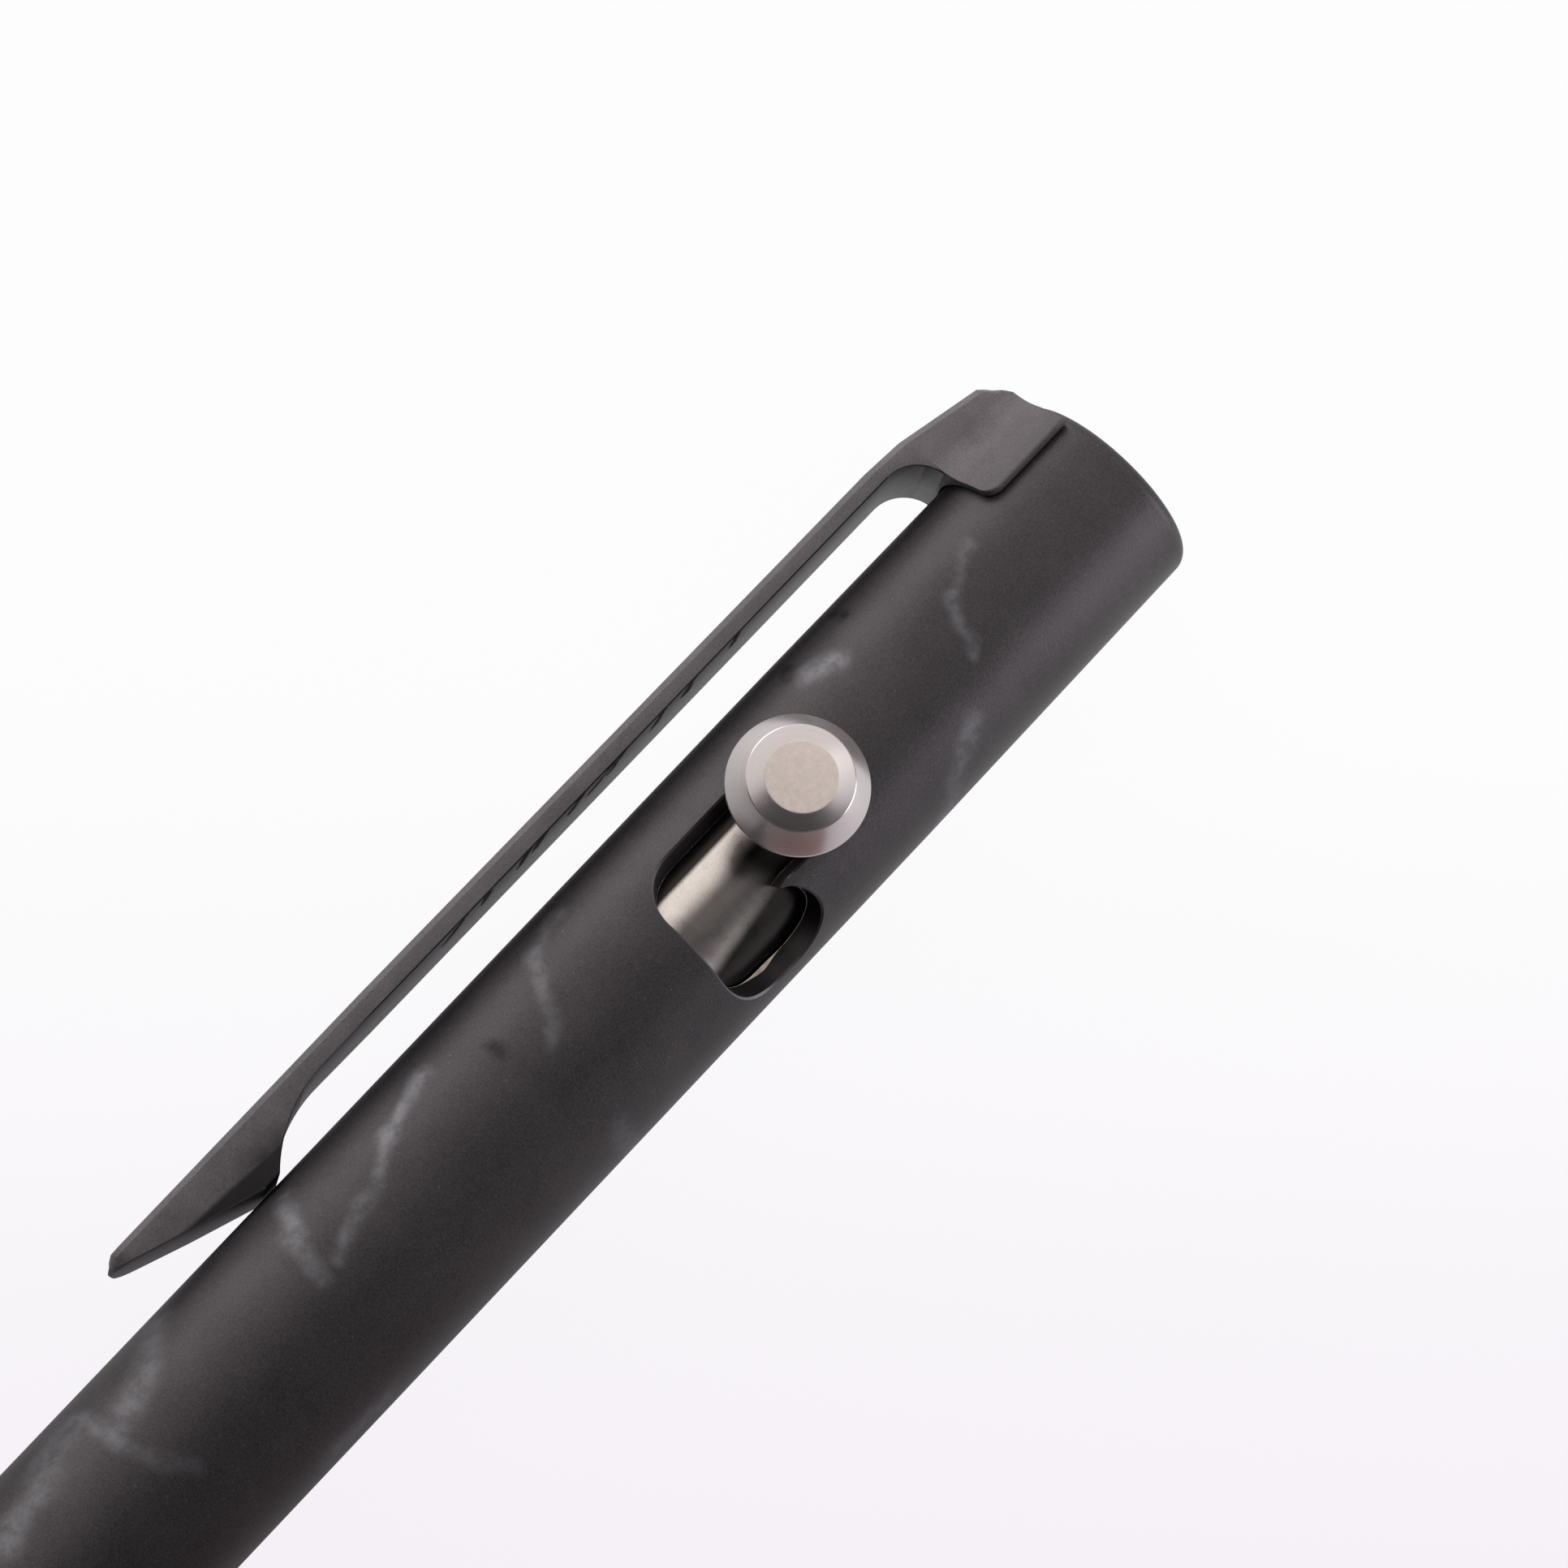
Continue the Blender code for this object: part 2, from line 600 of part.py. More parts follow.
def make_clip_screw():
    top = CLIP_SCREW_SEAT_HEIGHT + CLIP_SCREW_HEAD_HEIGHT
    bottom = CLIP_SCREW_SEAT_HEIGHT - CLIP_SCREW_DEPTH
    outline = [
        (0.0, top),
        (CLIP_SCREW_HEAD_RADIUS - EDGE_CHAMFER, top),
        (CLIP_SCREW_HEAD_RADIUS, top - EDGE_CHAMFER),
        (CLIP_SCREW_HEAD_RADIUS, CLIP_SCREW_SEAT_HEIGHT),
        (CLIP_SCREW_RADIUS, CLIP_SCREW_SEAT_HEIGHT),
        (CLIP_SCREW_RADIUS, bottom + EDGE_CHAMFER),
        (CLIP_SCREW_RADIUS - EDGE_CHAMFER, bottom),
        (0.0, bottom),
    ]
    screw = link_piece(turned_object("clip_screw", outline, SMALL_SEGMENTS), BLACK_STEEL)
    screw.location = (-CLIP_SCREW_FROM_TAIL, 0.0, 0.0)
    screw.rotation_euler = (-math.pi / 2, 0.0, 0.0)
    floor = top - SCREW_SOCKET_DEPTH
    rim = top + CUT_OVERRUN
    socket = cylinder_cutter("screw_socket", SCREW_SOCKET_RADIUS, floor, rim, SOCKET_SIDES)
    socket.location = screw.location
    socket.rotation_euler = screw.rotation_euler
    cut(screw, socket)
    return screw


# Slider, knob and the stud that joins them.

def at_knob(obj):
    obj.location = (-KNOB_FROM_TAIL, 0.0, 0.0)
    return obj


def make_slider():
    outline = [
        (0.0, SLIDER_FROM_TAIL),
        (SLIDER_RADIUS - SLIDER_CHAMFER, SLIDER_FROM_TAIL),
        (SLIDER_RADIUS, SLIDER_FROM_TAIL + SLIDER_CHAMFER),
        (SLIDER_RADIUS, SLIDER_FRONT - SLIDER_CHAMFER),
        (SLIDER_RADIUS - SLIDER_CHAMFER, SLIDER_FRONT),
        (CUP_RADIUS, SLIDER_FRONT),
        (CUP_RADIUS, CUP_FLOOR),
        (0.0, CUP_FLOOR),
    ]
    slider = link_piece(turned_along_pen("slider", outline), SATIN_TITANIUM)
    above = SLIDER_RADIUS + CUT_OVERRUN
    stud_bottom = KNOB_SEAT_HEIGHT - STUD_DEPTH_IN_SLIDER - SEAT_GAP
    seat_radius = STEM_RADIUS + RUNNING_GAP
    hole_radius = STUD_RADIUS + SCREW_GAP
    cut(slider, at_knob(cylinder_cutter("knob_seat", seat_radius, KNOB_SEAT_HEIGHT, above)))
    cut(slider, at_knob(cylinder_cutter("slider_hole", hole_radius, stud_bottom, above)))
    return slider


def make_knob():
    foot = KNOB_SEAT_HEIGHT + SEAT_GAP
    hole_radius = STUD_RADIUS + SCREW_GAP
    hole_top = STUD_TOP_HEIGHT + SEAT_GAP
    outline = [
        (0.0, KNOB_TOP_HEIGHT),
        (KNOB_TOP_RADIUS, KNOB_TOP_HEIGHT),
        (KNOB_SHOULDER_RADIUS, KNOB_SHOULDER_HEIGHT),
        (KNOB_RIM_RADIUS, KNOB_RIM_HEIGHT),
        (KNOB_RIM_RADIUS, KNOB_RIM_HEIGHT - KNOB_RIM_THICKNESS),
        (STEM_RADIUS, KNOB_UNDERCUT_HEIGHT),
        (STEM_RADIUS, foot),
        (hole_radius, foot),
        (hole_radius, hole_top),
        (0.0, hole_top),
    ]
    return link_piece(at_knob(turned_object("bolt_knob", outline, ROUND_SEGMENTS)), SATIN_TITANIUM)


def make_stud():
    bottom = KNOB_SEAT_HEIGHT - STUD_DEPTH_IN_SLIDER
    outline = [
        (0.0, STUD_TOP_HEIGHT),
        (STUD_RADIUS - EDGE_CHAMFER, STUD_TOP_HEIGHT),
        (STUD_RADIUS, STUD_TOP_HEIGHT - EDGE_CHAMFER),
        (STUD_RADIUS, bottom + EDGE_CHAMFER),
        (STUD_RADIUS - EDGE_CHAMFER, bottom),
        (0.0, bottom),
    ]
    return link_piece(at_knob(turned_object("bolt_stud", outline, SMALL_SEGMENTS)), BLACK_STEEL)


# Refill, from the spacer behind it to the ball.

def make_refill_spacer():
    start = CUP_FLOOR + SEAT_GAP
    end = start + SPACER_THICKNESS
    outline = [(0.0, start), (REFILL_RADIUS, start), (REFILL_RADIUS, end), (0.0, end)]
    return link_piece(turned_along_pen("refill_spacer", outline, SMALL_SEGMENTS), SEAL_RUBBER)


def make_refill_crown():
    front = REFILL_BACK + CROWN_LENGTH
    spigot_radius = REFILL_RADIUS - REFILL_WALL - INK_GAP
    spigot_end = front + CROWN_SPIGOT_LENGTH
    outline = [
        (CROWN_VENT_RADIUS, REFILL_BACK),
        (REFILL_RADIUS, REFILL_BACK),
        (REFILL_RADIUS, front),
        (spigot_radius, front),
        (spigot_radius, spigot_end),
        (CROWN_VENT_RADIUS, spigot_end),
    ]
    crown = link_piece(turned_along_pen("refill_crown", outline, SMALL_SEGMENTS), WHITE_PLASTIC)
    for notch in range(CROWN_NOTCHES // 2):
        cutter_mesh = bpy.data.meshes.new("crown_notch")
        box = bmesh.new()
        bmesh.ops.create_cube(box, size=1.0)
        box.to_mesh(cutter_mesh)
        box.free()
        cutter = link_cutter(bpy.data.objects.new(f"crown_notch_{notch + 1}", cutter_mesh))
        cutter.scale = (2 * CROWN_NOTCH_DEPTH, 4 * REFILL_RADIUS, CROWN_NOTCH_WIDTH)
        cutter.rotation_euler = (2 * math.pi * (notch + 0.5) / CROWN_NOTCHES, 0.0, 0.0)
        cutter.location = (-REFILL_BACK, 0.0, 0.0)
        cut(crown, cutter)
    return crown


def make_refill_tube():
    start = REFILL_BACK + CROWN_LENGTH + SEAT_GAP
    shoulder_end = REFILL_SHOULDER + SHOULDER_RUN
    neck_end = REFILL_SHOULDER + REFILL_NECK_LENGTH
    outline = [
        (REFILL_RADIUS - REFILL_WALL, start),
        (REFILL_RADIUS, start),
        (REFILL_RADIUS, REFILL_SHOULDER),
        (REFILL_NECK_RADIUS, shoulder_end),
        (REFILL_NECK_RADIUS, neck_end),
        (REFILL_NECK_RADIUS - REFILL_WALL, neck_end),
        (REFILL_NECK_RADIUS - REFILL_WALL, shoulder_end - REFILL_WALL),
        (REFILL_RADIUS - REFILL_WALL, REFILL_SHOULDER - REFILL_WALL),
    ]
    return link_piece(turned_along_pen("refill_tube", outline, SMALL_SEGMENTS), REFILL_STEEL)


def make_filling(name, start, length, material):
    """A length of what fills the refill's tube, from start towards the nose."""
    radius = REFILL_RADIUS - REFILL_WALL - INK_GAP
    end = start + length
    outline = [(0.0, start), (radius, start), (radius, end), (0.0, end)]
    return link_piece(turned_along_pen(name, outline, SMALL_SEGMENTS), material)


def make_refill_ink():
    return make_filling("refill_ink", INK_START, INK_LENGTH, BLACK_INK)


def make_ink_follower():
    return make_filling("ink_follower", FOLLOWER_START, FOLLOWER_LENGTH, CLEAR_GREASE)


def make_refill_point():
    neck_end = REFILL_SHOULDER + REFILL_NECK_LENGTH
    spigot_radius = REFILL_NECK_RADIUS - REFILL_WALL - INK_GAP
    lip = REFILL_FRONT - BALL_STANDOUT
    ball_centre = REFILL_FRONT - BALL_RADIUS
    seat_radius = BALL_RADIUS + BALL_GAP
    mouth_degrees = math.degrees(math.asin((lip - ball_centre) / seat_radius))
    outline = [
        (0.0, neck_end - POINT_SPIGOT_LENGTH),
        (spigot_radius, neck_end - POINT_SPIGOT_LENGTH),
        (spigot_radius, neck_end + SEAT_GAP),
        (POINT_RADIUS, neck_end + SEAT_GAP),
        (POINT_RADIUS, lip - POINT_CONE_LENGTH),
        (POINT_LIP_RADIUS, lip),
    ]
    outline += arc_points((0.0, ball_centre), seat_radius, mouth_degrees, -90)[:-1]
    outline.append((0.0, ball_centre - seat_radius))
    return link_piece(turned_along_pen("refill_point", outline, SMALL_SEGMENTS), BRASS)


def make_refill_ball():
    mesh = bpy.data.meshes.new("refill_ball")
    ball = bmesh.new()
    bmesh.ops.create_uvsphere(ball, u_segments=12, v_segments=8, radius=BALL_RADIUS)
    ball.to_mesh(mesh)
    ball.free()
    obj = link_piece(bpy.data.objects.new("refill_ball", mesh), CARBIDE)
    obj.location = (BALL_RADIUS - REFILL_FRONT, 0.0, 0.0)
    return obj


# Nose section and return spring.

def nose_taper():
    """The nose's outer curve, from the full radius in to the tip."""
    start = PEN_LENGTH - NOSE_TAPER_LENGTH
    points = []
    for step in range(NOSE_TAPER_STEPS + 1):
        share = step / NOSE_TAPER_STEPS
        drop = (BARREL_RADIUS - NOSE_TIP_RADIUS) * share ** NOSE_CURVE_POWER
        points.append((BARREL_RADIUS - drop, start + NOSE_TAPER_LENGTH * share))
    tip = points.pop()
    points.append((tip[0], tip[1] - NOSE_TIP_EDGE))
    points.append((tip[0] - NOSE_TIP_EDGE / 2, tip[1]))
    return points


def make_nose_section():
    land_radius = FRONT_BORE_RADIUS - RUNNING_GAP
    land_start = NOSE_SHOULDER - NECK_LAND_LENGTH
    spring_bore_start = REFILL_SHOULDER + PUSH_STROKE + SPRING_BORE_LEAD
    outline = [
        (NOSE_BORE_RADIUS, NECK_START),
        (NECK_RADIUS - EDGE_CHAMFER, NECK_START),
        (NECK_RADIUS, NECK_START + EDGE_CHAMFER),
        (NECK_RADIUS, land_start),
        (land_radius, land_start),
    ]
    outline += groove(land_radius, FRONT_BORE_RADIUS, NOSE_SEAL_FROM_TAIL)
    outline += [
        (land_radius, NOSE_SHOULDER),
        (BARREL_RADIUS - EDGE_CHAMFER, NOSE_SHOULDER),
        (BARREL_RADIUS, NOSE_SHOULDER + EDGE_CHAMFER),
    ]
    outline += nose_taper()
    outline += [
        (POINT_BORE_RADIUS, PEN_LENGTH),
        (POINT_BORE_RADIUS, SPRING_SEAT),
        (SPRING_BORE_RADIUS, SPRING_SEAT),
        (SPRING_BORE_RADIUS, spring_bore_start),
        (NOSE_BORE_RADIUS, spring_bore_start),
    ]
    nose = link_piece(turned_along_pen("nose_section", outline), BLACK_COAT)

    thread_length = THREAD_PITCH * THREAD_TURNS
    thread = helix_object(
        "nose_thread",
        NECK_RADIUS,
        THREAD_TURNS,
        thread_length,
        -NECK_START - THREAD_START_INSET - thread_length,
        THREAD_RIDGE_RADIUS,
        THREAD_POINTS_PER_TURN,
        0,
    )
    thread.rotation_euler = (0.0, math.pi / 2, 0.0)
    boolean(nose, link_cutter(as_mesh_object(thread)), "UNION")
    return nose


def make_return_spring():
    back = REFILL_SHOULDER + SHOULDER_RUN + SEAT_GAP + SPRING_WIRE_RADIUS
    front = SPRING_SEAT - SEAT_GAP - SPRING_WIRE_RADIUS
    spring = helix_object(
        "return_spring",
        SPRING_COIL_RADIUS,
        SPRING_TURNS,
        front - back,
        -front,
        SPRING_WIRE_RADIUS,
        SPRING_POINTS_PER_TURN,
        1,
    )
    spring.rotation_euler = (0.0, math.pi / 2, 0.0)
    gap = (front - back) / SPRING_TURNS - 2 * SPRING_WIRE_RADIUS
    print(f"return spring: least gap between turns {gap * 1000:.2f} mm")
    return link_piece(spring, SPRING_STEEL)


def carry(name, pieces):
    """An empty on the pen's axis that carries the pieces of one moving group."""
    empty = bpy.data.objects.new(name, None)
    PEN.objects.link(empty)
    for piece in pieces:
        piece.parent = empty
    return empty


make_barrel()
make_tail_plug()
make_seal("tail_o_ring", SLIDER_BORE_RADIUS, PLUG_SEAL_FROM_TAIL)
make_clip()
make_clip_screw()
carry("bolt_axis", [
    make_slider(),
    make_knob(),
    make_stud(),
    make_refill_spacer(),
    make_refill_crown(),
    make_refill_tube(),
    make_refill_ink(),
    make_ink_follower(),
    make_refill_point(),
    make_refill_ball(),
])
carry("nose_axis", [
    make_nose_section(),
    make_seal("nose_o_ring", FRONT_BORE_RADIUS, NOSE_SEAL_FROM_TAIL),
    make_return_spring(),
])
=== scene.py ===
import functools
import math

import bmesh
import bpy
from mathutils import Matrix, Vector, geometry


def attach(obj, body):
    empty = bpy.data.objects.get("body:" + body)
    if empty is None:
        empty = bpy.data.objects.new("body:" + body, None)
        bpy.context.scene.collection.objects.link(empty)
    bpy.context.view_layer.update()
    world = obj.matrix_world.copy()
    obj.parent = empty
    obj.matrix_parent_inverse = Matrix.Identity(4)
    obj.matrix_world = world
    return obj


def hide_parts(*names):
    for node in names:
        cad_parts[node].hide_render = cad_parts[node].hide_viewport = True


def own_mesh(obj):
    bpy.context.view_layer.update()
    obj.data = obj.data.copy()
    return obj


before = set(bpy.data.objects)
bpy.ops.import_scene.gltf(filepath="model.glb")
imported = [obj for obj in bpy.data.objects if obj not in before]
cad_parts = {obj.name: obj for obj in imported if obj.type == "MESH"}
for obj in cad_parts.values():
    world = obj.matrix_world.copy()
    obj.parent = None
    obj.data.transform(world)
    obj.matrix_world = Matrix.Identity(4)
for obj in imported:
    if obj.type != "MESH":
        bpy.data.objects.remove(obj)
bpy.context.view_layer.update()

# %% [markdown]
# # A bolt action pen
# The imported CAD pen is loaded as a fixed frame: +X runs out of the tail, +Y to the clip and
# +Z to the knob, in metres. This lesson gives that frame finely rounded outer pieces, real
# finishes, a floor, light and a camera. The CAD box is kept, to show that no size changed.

MM = 0.001


def new_object(name, data):
    made = bpy.data.objects.new(name, data)
    bpy.context.scene.collection.objects.link(made)
    return made


# %% [markdown]
# ## The camera
# The photograph looks almost square onto the pen, 15.2 degrees round towards the nose, from far
# away, with the pen running up to the right. These angles were fitted to the outlines of the
# barrel, clip and knob. Three unit vectors are enough to build the camera: one to the right,
# one up, and one from the pen back to the lens.

# %% Camera at the photograph's place
PHOTO_PIXELS = 1932
FOCAL_PIXELS = 12507.0
LENS_DISTANCE = 463.2 * MM
LOOKED_AT = Vector((-21.016, 1.150, 0.0)) * MM

turn, dip, roll = (math.radians(angle) for angle in (15.20, 5.20, -0.117))
towards_lens = Vector((-math.sin(turn), -math.sin(dip) * math.cos(turn), math.cos(dip) * math.cos(turn)))
along_pen = Vector((math.cos(turn), -math.sin(turn) * math.sin(dip), math.sin(turn) * math.cos(dip)))
across_pen = Vector((0.0, -math.cos(dip), -math.sin(dip)))
along_seen = math.cos(roll) * along_pen + math.sin(roll) * across_pen
across_seen = math.cos(roll) * across_pen - math.sin(roll) * along_pen
slant = Vector((0.687, 0.7266)).normalized()
to_right = slant.x * along_seen + slant.y * across_seen
to_top = slant.y * along_seen - slant.x * across_seen

camera_data = bpy.data.cameras.new("photo_camera")
camera_data.sensor_width = 36.0
camera_data.lens = FOCAL_PIXELS * camera_data.sensor_width / PHOTO_PIXELS
camera_data.clip_end = 50.0
camera = new_object("photo_camera", camera_data)
lens_place = LOOKED_AT + LENS_DISTANCE * towards_lens
axes = Matrix((to_right, to_top, towards_lens)).transposed()
camera.matrix_world = Matrix.Translation(lens_place) @ axes.to_4x4()
bpy.context.scene.camera = camera
bpy.context.scene.view_settings.view_transform = "Standard"
print("lens, mm:", round(camera_data.lens, 1))

# %% [markdown]
# ## Where a mark in the photograph lies on the barrel
# The barrel carries soft smears whose places can be read off the photograph. A ray from the
# lens through a pixel meets the barrel's cylinder once on the near side. The result is given
# unrolled, in millimetres: how far round from the knob's line, and how far from the tail.

# %% From a pixel to the barrel
BARREL_RADIUS = 5.25


def on_barrel(column, row):
    middle = PHOTO_PIXELS / 2
    ray = (column - middle) * to_right + (middle - row) * to_top - FOCAL_PIXELS * towards_lens
    ray.normalize()
    start = lens_place / MM
    a = ray.y ** 2 + ray.z ** 2
    b = start.y * ray.y + start.z * ray.z
    c = start.y ** 2 + start.z ** 2 - BARREL_RADIUS ** 2
    hit = start + ray * ((-b - math.sqrt(max(b * b - a * c, 0.0))) / a)
    return BARREL_RADIUS * math.atan2(-hit.y, hit.z), -hit.x


print("photo's centre falls on the barrel at", [round(value, 2) for value in on_barrel(966, 966)])

# %% [markdown]
# ## Building shader trees in few words
# A node tree is easier to read when one call makes a node, sets its sockets and links it. Plain
# values are set on a socket, and another node's output is linked to it. In the keywords below
# an underscore stands for the space in a socket's name.

# %% Node helpers
VECTOR = "a vector socket"


def place_node(tree, kind, sockets=None, **settings):
    made = tree.nodes.new(kind)
    for name, value in settings.items():
        setattr(made, name, value)
    for name, value in (sockets or {}).items():
        if isinstance(value, bpy.types.NodeSocket):
            tree.links.new(value, made.inputs[name])
        else:
            made.inputs[name].default_value = value
    return made


def feed(tree, node, **values):
    """Links values to the named sockets of a shader or of a group's end."""
    for name, value in values.items():
        tree.links.new(value, node.inputs[name.replace("_", " ")])


def maths(tree, operation, *values, clamp=False):
    sockets = dict(enumerate(values))
    return place_node(tree, "ShaderNodeMath", sockets, operation=operation, use_clamp=clamp).outputs[0]


def product(tree, *values):
    return functools.reduce(lambda first, second: maths(tree, "MULTIPLY", first, second), values)


def greatest(tree, *values):
    return functools.reduce(lambda first, second: maths(tree, "MAXIMUM", first, second), values)


def vector_maths(tree, operation, *values, output=0):
    made = place_node(tree, "ShaderNodeVectorMath", dict(enumerate(values)), operation=operation)
    return made.outputs[output]


def scaled(tree, vector, factor):
    sockets = {0: vector, "Scale": factor}
    return place_node(tree, "ShaderNodeVectorMath", sockets, operation="SCALE").outputs[0]


def dot(tree, first, second):
    return vector_maths(tree, "DOT_PRODUCT", first, second, output=1)


def distance(tree, place, other):
    return vector_maths(tree, "LENGTH", vector_maths(tree, "SUBTRACT", place, other), output=1)


def parts(tree, vector):
    return place_node(tree, "ShaderNodeSeparateXYZ", {0: vector}).outputs


def combined(tree, **sockets):
    return place_node(tree, "ShaderNodeCombineXYZ", sockets).outputs[0]


def object_place(tree):
    return place_node(tree, "ShaderNodeTexCoord").outputs["Object"]


def spread_over(tree, value, source, target, **settings):
    """Maps one range of a value onto another."""
    limits = {"From Min": source[0], "From Max": source[1], "To Min": target[0], "To Max": target[1]}
    return place_node(tree, "ShaderNodeMapRange", {"Value": value, **limits}, **settings).outputs["Result"]


def smooth_step(tree, value, low, high):
    """0 at low and 1 at high with a soft change between. It falls where low is the larger one."""
    return spread_over(tree, value, (low, high), (0.0, 1.0), interpolation_type="SMOOTHSTEP")


def range_of(tree, noise, low=0.0, high=1.0):
    """Spreads a noise value, which stays between about 0.3 and 0.7, from low to high."""
    return spread_over(tree, noise, (0.3, 0.7), (low, high))


def noise_at(tree, place, scale, detail=2.0, roughness=0.6, output=0):
    sockets = {"Vector": place, "Scale": scale, "Detail": detail, "Roughness": roughness}
    return place_node(tree, "ShaderNodeTexNoise", sockets).outputs[output]


def blend_values(tree, share, first, second):
    return place_node(tree, "ShaderNodeMix", {0: share, 2: first, 3: second}).outputs[0]


def blend_colours(tree, share, first, second):
    made = place_node(tree, "ShaderNodeMix", {"Factor": share}, data_type="RGBA")
    for place, colour in ((6, first), (7, second)):
        if isinstance(colour, bpy.types.NodeSocket):
            tree.links.new(colour, made.inputs[place])
        else:
            made.inputs[place].default_value = (*colour, 1.0)
    return made.outputs[2]


def new_group(name, inputs, **outputs):
    """A shader node group. An input is VECTOR or a number, and an output names its kind."""
    tree = bpy.data.node_groups.new(name, "ShaderNodeTree")
    for socket, value in inputs.items():
        kind = "NodeSocketVector" if value is VECTOR else "NodeSocketFloat"
        made = tree.interface.new_socket(socket, in_out="INPUT", socket_type=kind)
        if value is not VECTOR:
            made.default_value = value
    for socket, kind in outputs.items():
        tree.interface.new_socket(socket.replace("_", " "), in_out="OUTPUT", socket_type="NodeSocket" + kind)
    print("shader group:", name)
    return tree, tree.nodes.new("NodeGroupInput").outputs, tree.nodes.new("NodeGroupOutput")


def use_group(tree, group, **sockets):
    named = {name.replace("_", " "): value for name, value in sockets.items()}
    return place_node(tree, "ShaderNodeGroup", named, node_tree=group).outputs


# %% [markdown]
# ## Group: the pen's own coordinates
# Every finished piece sits at the origin, so its Object coordinates are places on the pen, in
# metres. Most finishes are thought of in millimetres, along and round the pen, as a turner
# would. This group gives them all.

# %% Pen coordinates
pen_space, _, ends = new_group("pen_space", {}, Place="Vector", Unrolled="Vector", From_Tail="Float")
place_mm = scaled(pen_space, object_place(pen_space), 1 / MM)
x, y, z = parts(pen_space, place_mm)
from_tail = product(pen_space, x, -1.0)
angle_round = maths(pen_space, "ARCTAN2", product(pen_space, y, -1.0), z)
unrolled = combined(pen_space, X=product(pen_space, angle_round, BARREL_RADIUS), Y=from_tail)
feed(pen_space, ends, Place=place_mm, Unrolled=unrolled, From_Tail=from_tail)

# %% [markdown]
# ## Group: fine grain
# A blasted and coated metal shows a grain of light and dark specks, a few hundredths of a
# millimetre wide, and slower cloudy patches. Two noises at their real sizes give one value
# round 0.5 for the colour, and the fine one alone gives a height for the bump. The rare peaks
# of a third noise are pale flecks.

# %% Fine grain
fine_grain, given, ends = new_group(
    "fine_grain", {"Place": VECTOR, "Speck Size": 0.08, "Cloud Size": 2.5, "Cloud Share": 0.4},
    Value="Float", Height="Float", Flecks="Float",
)


def noise_of_size(tree, place, size, detail=2.0, fineness=1.0):
    """Noise whose lumps are about as wide as size, or wider where fineness is under 1."""
    return noise_at(tree, place, maths(tree, "DIVIDE", fineness, size), detail)


specks = noise_of_size(fine_grain, given["Place"], given["Speck Size"])
clouds = noise_of_size(fine_grain, given["Place"], given["Cloud Size"], 4.0)
dust = noise_of_size(fine_grain, given["Place"], given["Speck Size"], 1.0, 0.55)
mixed = blend_values(fine_grain, given["Cloud Share"], specks, clouds)
feed(fine_grain, ends, Value=mixed, Height=specks, Flecks=smooth_step(fine_grain, dust, 0.73, 0.80))

# %% [markdown]
# ## Group: a smoky smear
# Handling leaves pale, soft-edged smears on a matt coating. One smear is a stroke from one
# point of a flat map to another, such as the unrolled barrel: the mask falls off with distance
# from that line, and noise frays its edge and breaks it into streaks. The dark stains under
# the clip's blade are the same strokes in another colour.

# %% Smoky smear
smoky_smear, given, ends = new_group(
    "smoky_smear", {"Map": VECTOR, "Start": VECTOR, "End": VECTOR, "Half Width": 0.3, "Strength": 1.0},
    Mask="Float",
)
FRAY_REACH = 1.3
tree = smoky_smear
fray = noise_at(tree, given["Map"], 0.45, 2.0, 0.4, "Color")
shift = scaled(tree, vector_maths(tree, "SUBTRACT", fray, (0.5, 0.5, 0.5)), FRAY_REACH)
wandered = vector_maths(tree, "MULTIPLY", vector_maths(tree, "ADD", given["Map"], shift), (1.0, 1.0, 0.0))
run = vector_maths(tree, "SUBTRACT", given["End"], given["Start"])
reach = vector_maths(tree, "SUBTRACT", wandered, given["Start"])
run_squared = maths(tree, "ADD", dot(tree, run, run), 0.0001)
share = maths(tree, "DIVIDE", dot(tree, reach, run), run_squared, clamp=True)
away = distance(tree, reach, scaled(tree, run, share))
body_mask = smooth_step(tree, maths(tree, "DIVIDE", away, given["Half Width"]), 2.1, 0.0)
streaks = smooth_step(tree, noise_at(tree, given["Map"], 1.1, 6.0, 0.72), 0.34, 0.64)
broken = maths(tree, "MULTIPLY_ADD", streaks, 0.70, 0.30)
feed(tree, ends, Mask=product(tree, body_mask, broken, given["Strength"]))


def strokes_mask(tree, flat_map, strokes):
    """The mask of many strokes, each with its start, end, half width and strength."""
    masks = []
    for start, end, half_width, strength in strokes:
        places = {"Map": flat_map, "Start": (*start, 0.0), "End": (*end, 0.0)}
        masks.append(use_group(tree, smoky_smear, **places, Half_Width=half_width, Strength=strength)["Mask"])
    return greatest(tree, *masks)


# %% [markdown]
# ## Group: turning marks
# A lathe tool leaves rings, all round the work at one distance along it. Noise read along that
# one coordinate, and hardly at all across it, gives rings of random depth.

# %% Turning marks
turning_marks, given, ends = new_group(
    "turning_marks", {"Along": 0.0, "Place": VECTOR, "Ring Width": 0.04, "Break Up": 0.15}, Value="Float"
)
ring_line = combined(turning_marks, X=maths(turning_marks, "DIVIDE", given["Along"], given["Ring Width"]))
slow_place = scaled(turning_marks, given["Place"], given["Break Up"])
rings = noise_at(turning_marks, vector_maths(turning_marks, "ADD", ring_line, slow_place), 1.0, 3.0, 0.7)
feed(turning_marks, ends, Value=rings)

# %% [markdown]
# ## Starting a material
# Each finish has one Principled shader. What is the same all over is set on its own sockets,
# and only what changes over the surface is linked: colour, roughness, metal share and bump.

